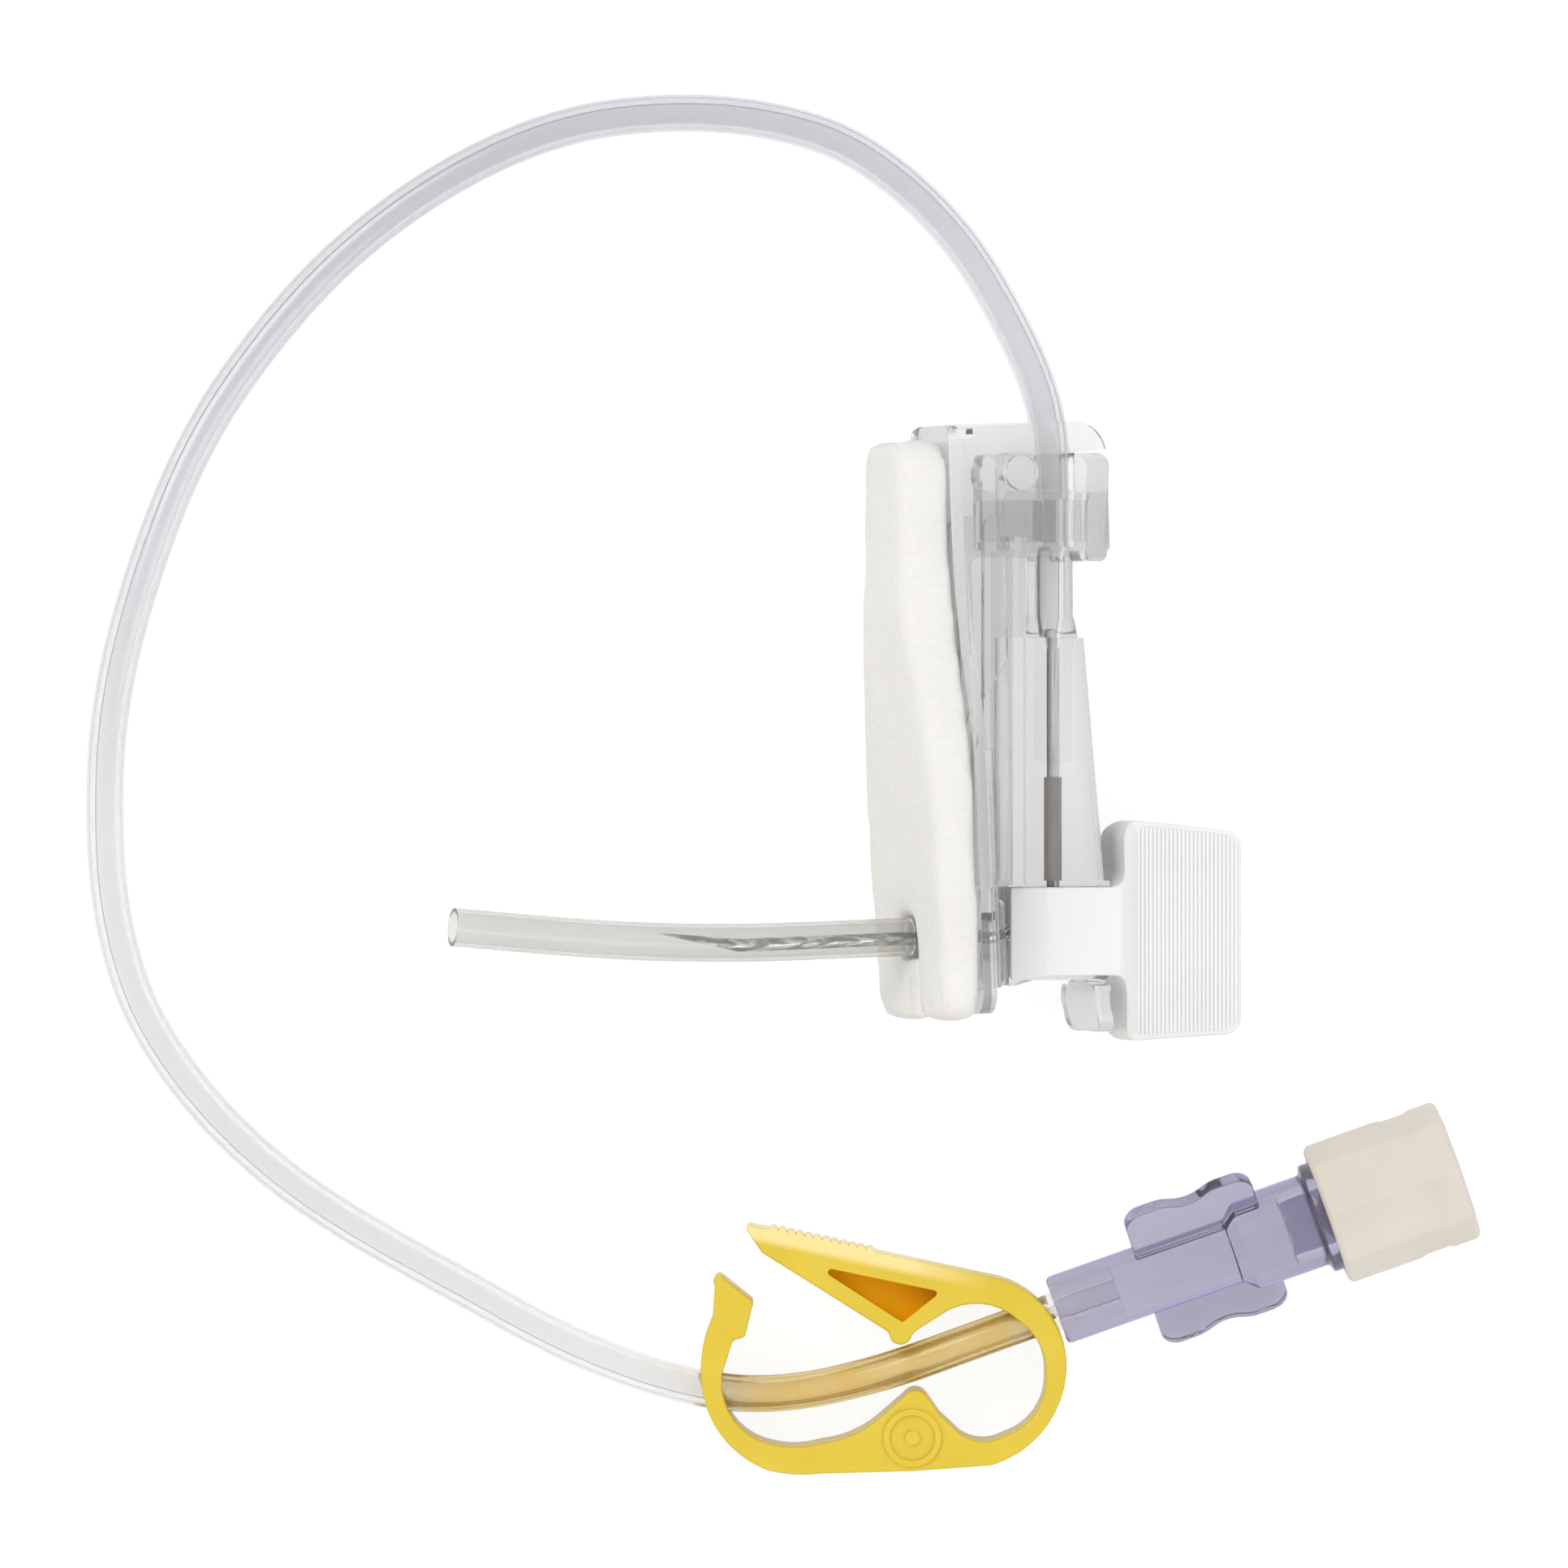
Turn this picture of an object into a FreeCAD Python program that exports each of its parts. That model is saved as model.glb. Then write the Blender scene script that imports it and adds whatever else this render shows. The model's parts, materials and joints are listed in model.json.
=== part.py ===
import FreeCAD, Part
import math
import os

# Safety needle set for an implanted port, lying on its side as it would on a table.
# The needle body is built in its own frame, then tilted until the edge of its base and the
# edge of its grip touch the floor. In that frame a place is given by three numbers:
#   n  away from the patient's skin, u  from the hinge towards the needle, w  across the body,
# and the hinge pin's axis is the line n = 0, u = 0. All sizes are in millimetres.

Vector = FreeCAD.Vector

# Hinge
pin_radius = 1.20
pin_fit = 0.06
pin_end_gap = 0.05
ear_wall = 0.55
ear_gap = 0.15
throat_inner = 0.90
throat_outer = 1.25

# Base plate, given in the base's own frame, which turns about the hinge pin
base_turn = 2.06
plate_depth = 5.30
plate_thickness = 1.00
hinge_end = -3.45
needle_overhang = 5.25
hinge_half_width = 4.20
needle_half_width = 7.80
flare_start = 8.9
flare_end = 19.1
flare_radius = 31.0
hinge_corner = 2.0
end_corner = 1.8
wall_top = -1.50
wall_length = 13.0
wall_slope = 3.2
wall_foot = 6.5
ear_top = 6.20
ear_length = 5.80
ear_nose = 2.4
rail_height = 0.45
rail_width = 0.50
rail_inset = 0.50
fin_thickness = 1.10
fin_gap = 0.35
fin_length = 6.6
fin_foot = 0.9
stop_bar_width = 0.70
stop_bar_height = 0.90

# Foam pad
pad_thickness = 3.60
pad_wedge = 1.45
pad_set_back = 1.1
pad_overhang = 0.3
pad_trim = 2.0

# Slot for the needle in base and pad
slot_gap = 0.375
slot_lip = 0.40

# Tube and cannula
tube_diameter = 2.60
tube_bore = 1.50
tube_height = 3.40
cannula_diameter = 0.91
cannula_bore = 0.60
cannula_start = 11.0
cannula_bend = 3.0
needle_place = 32.05
heel_depth = 19.2
tip_reach = 6.2
tip_angle = 6.3
heel_radius = 8.0
bevel_length = 6.2
bond_fit = 0.03

# Safety arm
collar_low = -1.10
collar_top = 6.60
collar_start = -1.40
collar_end = 5.40
collar_lip = 0.70
collar_lip_depth = 2.3
channel_clearance = 0.15
core_wall = 0.65
core_roof = 1.20
sleeve_wall = 0.32
shoulder_start = 9.8
hub_start = 11.4
hub_to_needle = 3.45
hub_low = 0.40
hub_top_start = 5.55
hub_top_end = 7.10
hub_half_width = 2.30
hub_round = 1.50
socket_end = 20.0
well_step = 1.1
well_wall = 0.3
bond_wall = 0.225
web_low = -0.20
web_thickness = 0.80
skirt_gap = 0.45
skirt_wall = 0.70
skirt_low = -2.50
skirt_start = 2.90
block_low = -0.30
block_reach = 3.15
block_half_width = 2.10
tab_drop = 1.55
tab_thickness = 1.05
tab_length = 3.6
tab_half_width = 3.70
tab_flare = 0.45
tab_bend = 1.4

# Grip handle
grip_fit = 0.12
grip_gap = 0.15
cheek_wall = 0.80
cheek_bevel_end = 2.16
cheek_bevel = 0.45
crown = 1.13
grip_height = 8.75
neck_length = 6.15
neck_flare = 1.2
grip_back = 4.75
grip_front = 4.60
grip_back_taper = 0.90
grip_front_taper = 0.50
grip_half_thickness = 1.50
grip_corner = 1.3
grip_edge = 0.35
grip_shoulder = 0.70

# Needle sheath
sheath_room = 1.19
sheath_wall = 0.275
sheath_spare = 14.4
sheath_gap = 0.30
sheath_straight = 8.0
sheath_reach = 9.0
sheath_angle = 7.0
sheath_rise = 0.12

# Pinch clamp, given in its own frame from the middle of its outline
clamp_depth = 7.0
clamp_wall = 2.0
clamp_tube_fit = 0.25
clamp_window_corner = 0.25
clamp_window_depth = 2.9
clamp_mark = (1.92, -6.10)
clamp_mark_radii = (2.0, 1.6, 0.5)
clamp_mark_height = 0.20
grip_bumps = 12
grip_bump_radius = 0.30
bump_first = (-7.74, 8.25)
bump_last = (-1.02, 6.80)

# Luer connector and cap, along the connector's axis from the end of its sleeve
luer_angle = 19.5
luer_sleeve_wall = 1.15
barrel_start = 13.0
barrel_radius = 3.30
shoulder_length = 0.9
lug_start = 19.0
lug_length = 1.5
lug_rise = 0.62
lug_slope = 0.2
mouth_place = 24.4
mouth_radius = 2.15
luer_taper = 0.03
luer_depth = 7.5
flow_bore = 0.75
tube_depth = 4.5
wing_start = 6.4
wing_end = 15.7
wing_reach = 6.55
wing_waist = 0.85
wing_shoulder = 2.9
wing_corner = 1.3
wing_curve = 2.5
wing_thickness = 1.00
wing_roll = 42.0
cap_set_back = 0.9
cap_sides = 8
cap_turn = -2.4
cap_wall = 0.62
cap_room = 1.8
cap_end_wall = 3.5
cap_edge = 0.30
cap_cavity_fit = 0.13
cap_plug_fit = 0.12
cap_plug_length = 5.7
groove_start = 5.4
groove_width = 2.4
groove_depth = 0.12
groove_slope = 0.35

# Places on the floor, measured from the hinge pin: x to the right, y away from the viewer's feet
clamp_place = (-8.25, -60.96)
luer_place = (3.73, -58.30)
luer_height = 5.07

# Route of the tube from the hinge end to the connector, each point x, y from the pin and height
route = [
    (1.05, 9.70, 5.45),
    (-3.35, 17.15, 4.90),
    (-9.90, 22.85, 4.05),
    (-16.16, 24.90, 3.15),
    (-22.82, 25.28, 2.40),
    (-30.46, 24.32, 1.75),
    (-38.37, 20.93, 1.42),
    (-45.74, 15.60, 1.36),
    (-51.46, 9.38, 1.34),
    (-56.58, 1.96, 1.34),
    (-60.46, -7.60, 1.34),
    (-62.64, -16.72, 1.34),
    (-62.86, -25.76, 1.34),
    (-62.12, -32.06, 1.34),
    (-60.24, -37.87, 1.34),
    (-56.34, -43.57, 1.34),
    (-51.24, -48.58, 1.34),
    (-45.55, -52.48, 1.36),
    (-38.19, -56.51, 1.45),
    (-30.28, -60.90, 2.10),
    (-22.09, -63.78, 3.05),
    (-15.59, -64.35, 3.50),
    (-8.25, -62.71, 3.95),
]
exit_place = -4.07
bend_before_sleeve = 3.7

# How far a piece reaches into its neighbour before they are fused, and how far a cut runs past a face
sink = 0.30
spare = 1.00

# Half sizes and places that several pieces share
tube_radius = tube_diameter / 2
cannula_radius = cannula_diameter / 2
sheath_bore = cannula_diameter + sheath_room
sheath_diameter = sheath_bore + 2 * sheath_wall
slot_half_width = sheath_diameter / 2 + slot_gap
ear_inner = hinge_half_width - ear_wall
collar_half_width = ear_inner - ear_gap
skirt_half_width = ear_inner - skirt_gap
plate_top = -plate_depth + plate_thickness
web_top = web_low + web_thickness
hub_end = needle_place - hub_to_needle
block_end = needle_place + block_reach
needle_end = needle_place + needle_overhang
well_start = socket_end + well_step
well_end = hub_end - well_wall
well_radius = cannula_radius + bond_wall
tab_low = hub_top_end - tab_drop
tab_end = block_end + tab_length
neck_start = hub_end + grip_gap
neck_end = neck_start + neck_length
grip_inner = hub_top_end + grip_fit + crown
grip_outer = grip_inner + grip_height
tip_depth = heel_depth + tip_reach
sheath_end = tip_depth + sheath_spare
sleeve_radius = tube_radius + luer_sleeve_wall
lug_radius = barrel_radius + lug_rise
cap_start = lug_start + cap_set_back
cap_flat_radius = lug_radius + cap_cavity_fit + cap_wall
cavity_end = mouth_place + cap_room
cap_end = cavity_end + cap_end_wall
turn = math.radians(base_turn)
needle_in_base = needle_place * math.cos(turn)
tilt = math.degrees(math.atan2(needle_half_width - grip_half_thickness,
                               grip_outer - plate_top * math.cos(turn) - needle_end * math.sin(turn)))


def body(n, u, w=0.0):
    """A point of the needle body's own frame."""
    return Vector(n, -u, w)


def rounded_loop(corners, place):
    """A closed wire through corners (a, b, radius), each rounded to its own radius."""
    points = [place(a, b) for a, b, radius in corners]
    stretches = []
    for index, (a, b, radius) in enumerate(corners):
        here = points[index]
        back = (points[index - 1] - here).normalize()
        ahead = (points[(index + 1) % len(points)] - here).normalize()
        half_turn = (math.pi - back.getAngle(ahead)) / 2
        reach = radius * math.tan(half_turn)
        first = here + back * reach
        last = here + ahead * reach
        middle = here + (back + ahead).normalize() * (radius / math.cos(half_turn) - radius)
        stretches.append((first, middle, last, radius > 0))
    edges = []
    for index, (first, middle, last, is_round) in enumerate(stretches):
        if is_round:
            edges.append(Part.Arc(first, middle, last).toShape())
        following = stretches[(index + 1) % len(stretches)][0]
        if last.distanceToPoint(following) > 1e-5:
            edges.append(Part.makeLine(last, following))
    return Part.Wire(edges)


def across(corners, low, high):
    """A solid with an outline in n and u, from w = low to w = high."""
    loop = rounded_loop(corners, lambda n, u: body(n, u, low))
    return Part.Face(loop).extrude(Vector(0, 0, high - low))


def upright(corners, low, high):
    """A solid with an outline in u and w, from n = low to n = high."""
    loop = rounded_loop(corners, lambda u, w: body(low, u, w))
    return Part.Face(loop).extrude(Vector(high - low, 0, 0))


def section(corners, u):
    """A wire with an outline in n and w, at one place along the body."""
    return rounded_loop(corners, lambda n, w: body(n, u, w))


def brick(low, high):
    """A box between two corners given as (n, u, w)."""
    size = [b - a for a, b in zip(low, high)]
    return Part.makeBox(*size, Vector(low[0], -high[1], low[2]))


def along_body(radius, start, end, n=tube_height):
    """A round rod along u at height n."""
    return Part.makeCylinder(radius, end - start, body(n, start), Vector(0, -1, 0))


def both_sides(shape):
    """The shape and its mirror image across the middle of the body."""
    return [shape, shape.mirror(Vector(0, 0, 0), Vector(0, 0, 1))]


def joined(shapes):
    """One solid out of several that overlap."""
    return shapes[0].multiFuse(shapes[1:]).removeSplitter()


def arc_path(points, radii):
    """Straight runs through the points, joined by tangent arcs of the given radii."""
    edges = []
    start = points[0]
    for index in range(1, len(points) - 1):
        here = points[index]
        back = (points[index - 1] - here).normalize()
        ahead = (points[index + 1] - here).normalize()
        half_turn = (math.pi - back.getAngle(ahead)) / 2
        radius = radii[index - 1]
        reach = radius * math.tan(half_turn)
        first = here + back * reach
        last = here + ahead * reach
        middle = here + (back + ahead).normalize() * (radius / math.cos(half_turn) - radius)
        edges.append(Part.makeLine(start, first))
        edges.append(Part.Arc(first, middle, last).toShape())
        start = last
    edges.append(Part.makeLine(start, points[-1]))
    return Part.Wire(edges)


def rod_along(path, radius):
    """A round rod that follows a path."""
    start = path.Edges[0].valueAt(path.Edges[0].FirstParameter)
    heading = path.Edges[0].tangentAt(path.Edges[0].FirstParameter)
    ring = Part.Wire(Part.makeCircle(radius, start, heading))
    return path.makePipeShell([ring], True, False)


# Base: a tongue-shaped plate with two hinge ears, side walls, low rails and two fins at the needle

def tongue(start, end, low, high):
    """The plan outline that the plate and the foam share, with the open slot for the needle."""
    slot_start = needle_in_base - slot_half_width
    slot_round = slot_half_width * 0.98
    half = [
        (start, hinge_half_width, hinge_corner),
        (flare_start, hinge_half_width, flare_radius),
        (flare_end, needle_half_width, flare_radius),
        (end, needle_half_width, end_corner),
        (end, slot_half_width, slot_lip),
        (slot_start, slot_half_width, slot_round),
    ]
    other = [(u, -w, radius) for u, w, radius in reversed(half)]
    return upright(half + other, low, high)


def hinge_ear():
    """One ear with the open seat that the arm's pin clicks into, and the wall that it grows from."""
    ear = across([
        (-plate_depth, hinge_end, 0.7),
        (ear_top, hinge_end, ear_nose),
        (ear_top, ear_length, 0.6),
        (wall_top, ear_length, 0.5),
        (wall_top, wall_length, 1.5),
        (plate_top + rail_height, wall_length + wall_slope, 6.0),
        (plate_top, wall_length + wall_foot, 0.0),
        (-plate_depth, wall_length + wall_foot, 0.0),
    ], ear_inner, hinge_half_width)
    seat = Part.makeCylinder(pin_radius + pin_fit, ear_wall + 2 * spare, Vector(0, 0, ear_inner - spare))
    throat = across([
        (0.0, -throat_inner * pin_radius, 0.0),
        (ear_top + spare, -throat_outer * pin_radius, 0.0),
        (ear_top + spare, throat_outer * pin_radius, 0.0),
        (0.0, throat_inner * pin_radius, 0.0),
    ], ear_inner - spare, hinge_half_width + spare)
    return ear.cut(joined([seat, throat]))


def needle_fin():
    """One of the two guides that stand on the plate beside the needle."""
    start = needle_in_base - fin_length / 2
    end = start + fin_length
    fin_top = block_low - fin_gap - end * math.sin(turn)
    return across([
        (plate_top - sink, start, 0.0),
        (fin_top, start + fin_foot, 0.5),
        (fin_top, end, 0.5),
        (plate_top - sink, end + fin_foot, 0.0),
    ], slot_half_width, slot_half_width + fin_thickness)


def side_rail():
    """A low rail along the wide part of the plate."""
    outer = needle_half_width - rail_inset
    return upright([
        (flare_end, outer, 0.1),
        (needle_end - end_corner, outer, 0.1),
        (needle_end - end_corner, outer - rail_width, 0.1),
        (flare_end, outer - rail_width, 0.1),
    ], plate_top - sink, plate_top + rail_height)


def base_plate():
    plate = tongue(hinge_end, needle_end, -plate_depth, plate_top)
    shapes = [plate] + both_sides(hinge_ear()) + both_sides(needle_fin()) + both_sides(side_rail())
    stop_bar = brick((plate_top - sink, hinge_end + sink, -ear_inner - sink),
                     (plate_top + stop_bar_height, hinge_end + sink + stop_bar_width, ear_inner + sink))
    return joined(shapes + [stop_bar])


def foam_pad():
    """A die-cut pad, thinner towards the needle, flat on the skin side."""
    start = hinge_end + pad_set_back
    end = needle_end + pad_overhang
    deepest = -plate_depth - pad_thickness
    blank = tongue(start, end, deepest, -plate_depth)
    waste = across([
        (deepest - pad_trim, start - pad_trim, 0.0),
        (deepest - pad_trim, end + pad_trim, 0.0),
        (deepest + pad_wedge, end + pad_trim, 0.0),
        (deepest, start - pad_trim, 0.0),
    ], -needle_half_width - pad_trim, needle_half_width + pad_trim)
    return blank.cut(waste)


# Safety arm: collar on the hinge, sleeve, hub for tube and cannula, skirts, front block and lift tab

def cannula_points():
    """Corner points of the cannula's line: tube end, elbow, heel and tip."""
    down = body(-math.cos(turn), math.sin(turn))
    elbow_u = needle_place - tube_height * math.tan(turn)
    elbow = body(tube_height, elbow_u)
    heel = elbow + down * ((tube_height + heel_depth) / math.cos(turn))
    lift = math.radians(tip_angle) - turn
    tip = heel + body(-math.cos(lift), -math.sin(lift)) * ((tip_depth - heel_depth) / math.cos(lift))
    return [body(tube_height, cannula_start), elbow, heel, tip]


def cannula_path():
    return arc_path(cannula_points(), [cannula_bend, heel_radius])


def cannula():
    """A bent steel tube whose opening faces sideways, so that it cuts no core."""
    path = cannula_path()
    tube = rod_along(path, cannula_radius).cut(rod_along(path, cannula_bore / 2))
    tip = cannula_points()[-1]
    lift = math.radians(tip_angle) - turn
    back = body(math.cos(lift), math.sin(lift))
    side_way = body(math.sin(lift), -math.cos(lift))
    point = tip + side_way * cannula_radius
    heel_cut = tip + back * bevel_length - side_way * cannula_radius
    margin = 2 * spare
    ahead = (point - heel_cut).normalize()
    below = Vector(-ahead.y, ahead.x, 0)
    if below.dot(side_way) > 0:
        below = below * -1
    corners = [heel_cut - ahead * margin, point + ahead * margin,
               point + ahead * margin + below * margin, heel_cut - ahead * margin + below * margin]
    depth = Vector(0, 0, margin)
    loop = Part.makePolygon([c - depth for c in corners + corners[:1]])
    return tube.cut(Part.Face(loop).extrude(depth * 2))


def needle_bond():
    """The cured adhesive that fills the well round the cannula."""
    outer = along_body(well_radius - bond_fit, well_start, well_end)
    return outer.cut(along_body(cannula_radius + bond_fit, well_start - spare, well_end + spare))


def collar():
    """The box on the hinge pins, with a channel for the tube and two cored pockets."""
    box = across([
        (collar_low, collar_start, 0.5),
        (collar_low, collar_end, 0.4),
        (collar_top - collar_lip_depth, collar_end, 0.2),
        (collar_top - collar_lip_depth + 0.3, collar_end + collar_lip, 0.3),
        (collar_top - 0.2, collar_end + collar_lip, 0.5),
        (collar_top, collar_start, 0.9),
    ], -collar_half_width, collar_half_width)
    channel_radius = tube_radius + channel_clearance
    floor = collar_low - spare
    far_end = collar_end + collar_lip + spare
    channel = brick((floor, collar_start - spare, -channel_radius),
                    (tube_height, far_end, channel_radius))
    pocket = brick((floor, pin_radius + core_wall, channel_radius + core_wall),
                   (collar_top - core_roof, collar_end - core_wall, collar_half_width - core_wall))
    round_top = along_body(channel_radius, collar_start - spare, far_end)
    hollow = box.cut(joined([channel, round_top] + both_sides(pocket)))
    pin = Part.makeCylinder(pin_radius, hinge_half_width - pin_end_gap - channel_radius,
                            Vector(0, 0, channel_radius))
    return joined([hollow] + both_sides(pin))


def hub():
    """The tapering body that holds the tube and the cannula, with its cone towards the hinge."""
    wedge = across([
        (hub_low, hub_start, 0.0),
        (hub_top_start, hub_start, 0.0),
        (hub_top_end, hub_end, 0.0),
        (hub_low, hub_end, 0.0),
    ], -hub_half_width, hub_half_width)
    top_edges = [edge for edge in wedge.Edges
                 if edge.BoundBox.XMin > hub_low + spare and edge.BoundBox.YLength > spare]
    taper = wedge.makeFillet(hub_round, top_edges)
    cone = Part.makeCone(tube_radius + sleeve_wall, hub_half_width - sink,
                         hub_start - shoulder_start, body(tube_height, shoulder_start),
                         Vector(0, -1, 0))
    sleeve = along_body(tube_radius + sleeve_wall, collar_end - sink, hub_start + sink)
    return joined([taper, cone, sleeve])


def skirts():
    """The web under the hub and the two side skirts that hang from it."""
    web = upright([
        (collar_end - spare, -skirt_half_width, 0.2),
        (hub_end, -skirt_half_width, 0.2),
        (hub_end, skirt_half_width, 0.2),
        (collar_end - spare, skirt_half_width, 0.2),
    ], web_low, web_top)
    skirt = across([
        (skirt_low, skirt_start, 1.0),
        (skirt_low, hub_end, 0.4),
        (web_top, hub_end, 0.2),
        (web_top, skirt_start, 0.2),
    ], skirt_half_width - skirt_wall, skirt_half_width)
    return [web] + both_sides(skirt)


def front_block():
    """The block over the needle's elbow, which the grip straddles, and the dished lift tab."""
    block = across([
        (block_low, hub_end - sink, 0.0),
        (hub_top_end, hub_end - sink, 0.0),
        (hub_top_end, block_end, 0.5),
        (block_low + 1.8, block_end, 0.4),
        (block_low, block_end + 0.5, 0.3),
    ], -block_half_width, block_half_width)
    tab_top = tab_low + tab_thickness
    dish = across([
        (tab_top + tab_flare, tab_end, 0.3),
        (tab_top - 0.1, block_end + tab_bend, 2.5),
        (tab_top + sink, block_end - 2 * sink, 0.0),
        (tab_low, block_end - 2 * sink, 0.0),
        (tab_low - 0.1, block_end + tab_bend, 2.5),
        (tab_low + tab_flare, tab_end, 0.3),
    ], -tab_half_width, tab_half_width)
    plan = upright([
        (block_end - 2 * sink, -block_half_width, 0.0),
        (block_end + 0.35, -block_half_width, 0.3),
        (block_end + 0.35, -tab_half_width, 0.5),
        (tab_end, -tab_half_width, 1.1),
        (tab_end, tab_half_width, 1.1),
        (block_end + 0.35, tab_half_width, 0.5),
        (block_end + 0.35, block_half_width, 0.3),
        (block_end - 2 * sink, block_half_width, 0.0),
    ], tab_low - spare, tab_top + spare)
    return [block, dish.common(plan)]


def safety_arm():
    whole = joined([collar(), hub()] + skirts() + front_block())
    bore = along_body(tube_radius + bond_fit, collar_end - spare, socket_end)
    well = along_body(well_radius, well_start, well_end)
    return whole.cut(joined([bore, well, rod_along(cannula_path(), cannula_radius + bond_fit)]))


# Grip: a ridged paddle on a neck, whose two cheeks straddle the arm's front block

def grip_handle():
    cheek_inner = block_half_width + grip_fit
    cheek_outer = cheek_inner + cheek_wall
    back = neck_start - grip_back
    front = neck_end + grip_front
    side = across([
        (block_low, neck_start, 0.2),
        (grip_inner - 0.2, neck_start, neck_flare),
        (grip_inner - 0.4, back, grip_corner),
        (grip_outer, back + grip_back_taper, grip_corner),
        (grip_outer, front - grip_front_taper, grip_corner),
        (grip_inner, front, 0.9),
        (grip_inner, neck_end, neck_flare),
        (cheek_bevel_end, neck_end, 0.5),
        (block_low, neck_end + 0.3, 0.2),
    ], -cheek_outer, cheek_outer)
    half = [
        (block_low, cheek_outer - cheek_bevel, 0.0),
        (cheek_bevel_end, cheek_outer, 0.3),
        (grip_inner - grip_shoulder, cheek_outer, 0.9),
        (grip_inner + grip_shoulder, grip_half_thickness, 0.9),
        (grip_outer, grip_half_thickness, grip_edge),
    ]
    other = [(n, -w, radius) for n, w, radius in reversed(half)]
    cross = Part.Face(section(half + other, back - spare))
    cross = cross.extrude(Vector(0, back - front - 2 * spare, 0))
    saddle = brick((block_low - spare, neck_start - spare, -cheek_inner),
                   (hub_top_end + grip_fit, neck_end + spare, cheek_inner))
    return side.common(cross).cut(saddle)


# Sheath: a length of clear tube pushed over the needle, with a slight curve

def pad_face_depth():
    """How far the foam's skin side lies from the pin's plane where the needle leaves it."""
    run = needle_end + pad_overhang - hinge_end - pad_set_back + 2 * pad_trim
    share = (needle_in_base - hinge_end - pad_set_back + pad_trim) / run
    return plate_depth + pad_thickness - pad_wedge * share


def needle_sheath():
    down = body(-math.cos(turn), math.sin(turn))
    foot = body(0, needle_place - sheath_rise)
    start = foot + down * (pad_face_depth() - needle_place * math.sin(turn) + sheath_gap)
    corner = start + down * (sheath_straight + sheath_reach)
    lift = math.radians(sheath_angle) - turn
    reach = (sheath_end + corner.x) / math.cos(lift)
    end = corner + body(-math.cos(lift), -math.sin(lift)) * reach
    bend = sheath_reach / math.tan(math.radians(sheath_angle) / 2)
    path = arc_path([start, corner, end], [bend])
    return rod_along(path, sheath_diameter / 2).cut(rod_along(path, sheath_bore / 2))


# Pinch clamp: one flat moulding, with a lever, a hook, a ridge under the tube and a nub over it.
# The lever is cored from both sides, with a web left in the middle.

def traced_loop(steps):
    """A closed wire. A step of two numbers is a line to that point, a step of four is an arc."""
    start = Vector(*steps[0], 0)
    here = start
    edges = []
    for step in steps[1:] + [steps[0]]:
        there = Vector(step[-2], step[-1], 0)
        if len(step) == 4:
            edges.append(Part.Arc(here, Vector(step[0], step[1], 0), there).toShape())
        else:
            edges.append(Part.makeLine(here, there))
        here = there
    return Part.Wire(edges)


def clamp_outline():
    lever_top = [(-9.60, 8.31), (-9.55, 8.62, -9.20, 8.64), (-0.45, 6.78), (8.19, 4.92)]
    right_bend = [(11.41, 2.66, 12.66, -0.90), (11.30, -5.25, 7.40, -8.02)]
    bottom = [(1.98, -8.42), (-4.41, -8.59), (-6.30, -8.65, -7.97, -8.42)]
    left_bend = [(-11.02, -6.38, -12.77, -2.03), (-12.66, 0.17, -11.98, 2.26), (-11.81, 4.60)]
    hook = [(-11.72, 5.12, -11.30, 5.10), (-9.38, 3.56), (-9.17, 3.32, -9.22, 3.00),
            (-9.72, 0.90), (-10.56, 0.68), (-11.30, -1.64)]
    left_floor = [(-10.85, -4.24, -7.97, -6.50), (-6.16, -6.72, -4.41, -6.44),
                  (-1.98, -5.76, -0.28, -4.63), (1.41, -3.16)]
    ridge = [(2.15, -2.77, 2.94, -3.16), (3.84, -4.46), (5.20, -5.76)]
    right_floor = [(6.78, -6.33, 8.36, -5.93), (10.56, -4.24, 11.19, -1.81)]
    lever_root = [(10.96, -0.11, 9.27, 2.09), (6.50, 3.22, 4.24, 2.66), (2.71, 1.69)]
    nub = [(1.98, 1.19), (1.80, 0.80), (1.10, 0.38, 0.40, 0.80), (0.28, 1.24)]
    lever_under = [(-8.53, 6.78)]
    return (lever_top + right_bend + bottom + left_bend + hook + left_floor + ridge
            + right_floor + lever_root + nub + lever_under)


def passage(tube_path, x):
    """A straight hole for the tube through one of the clamp's end walls."""
    slice_plane = Part.makePlane(clamp_depth, -2 * clamp_place[1], Vector(x, 0, 0), Vector(1, 0, 0))
    distance, touches, details = tube_path.distToShape(slice_plane)
    point = touches[0][0]
    edge = min(tube_path.Edges, key=lambda one: one.distToShape(Part.Vertex(point))[0])
    heading = edge.tangentAt(edge.Curve.parameter(point))
    return Part.makeCylinder(tube_radius + clamp_tube_fit, 4 * clamp_wall,
                             point - heading * 2 * clamp_wall, heading)


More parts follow.
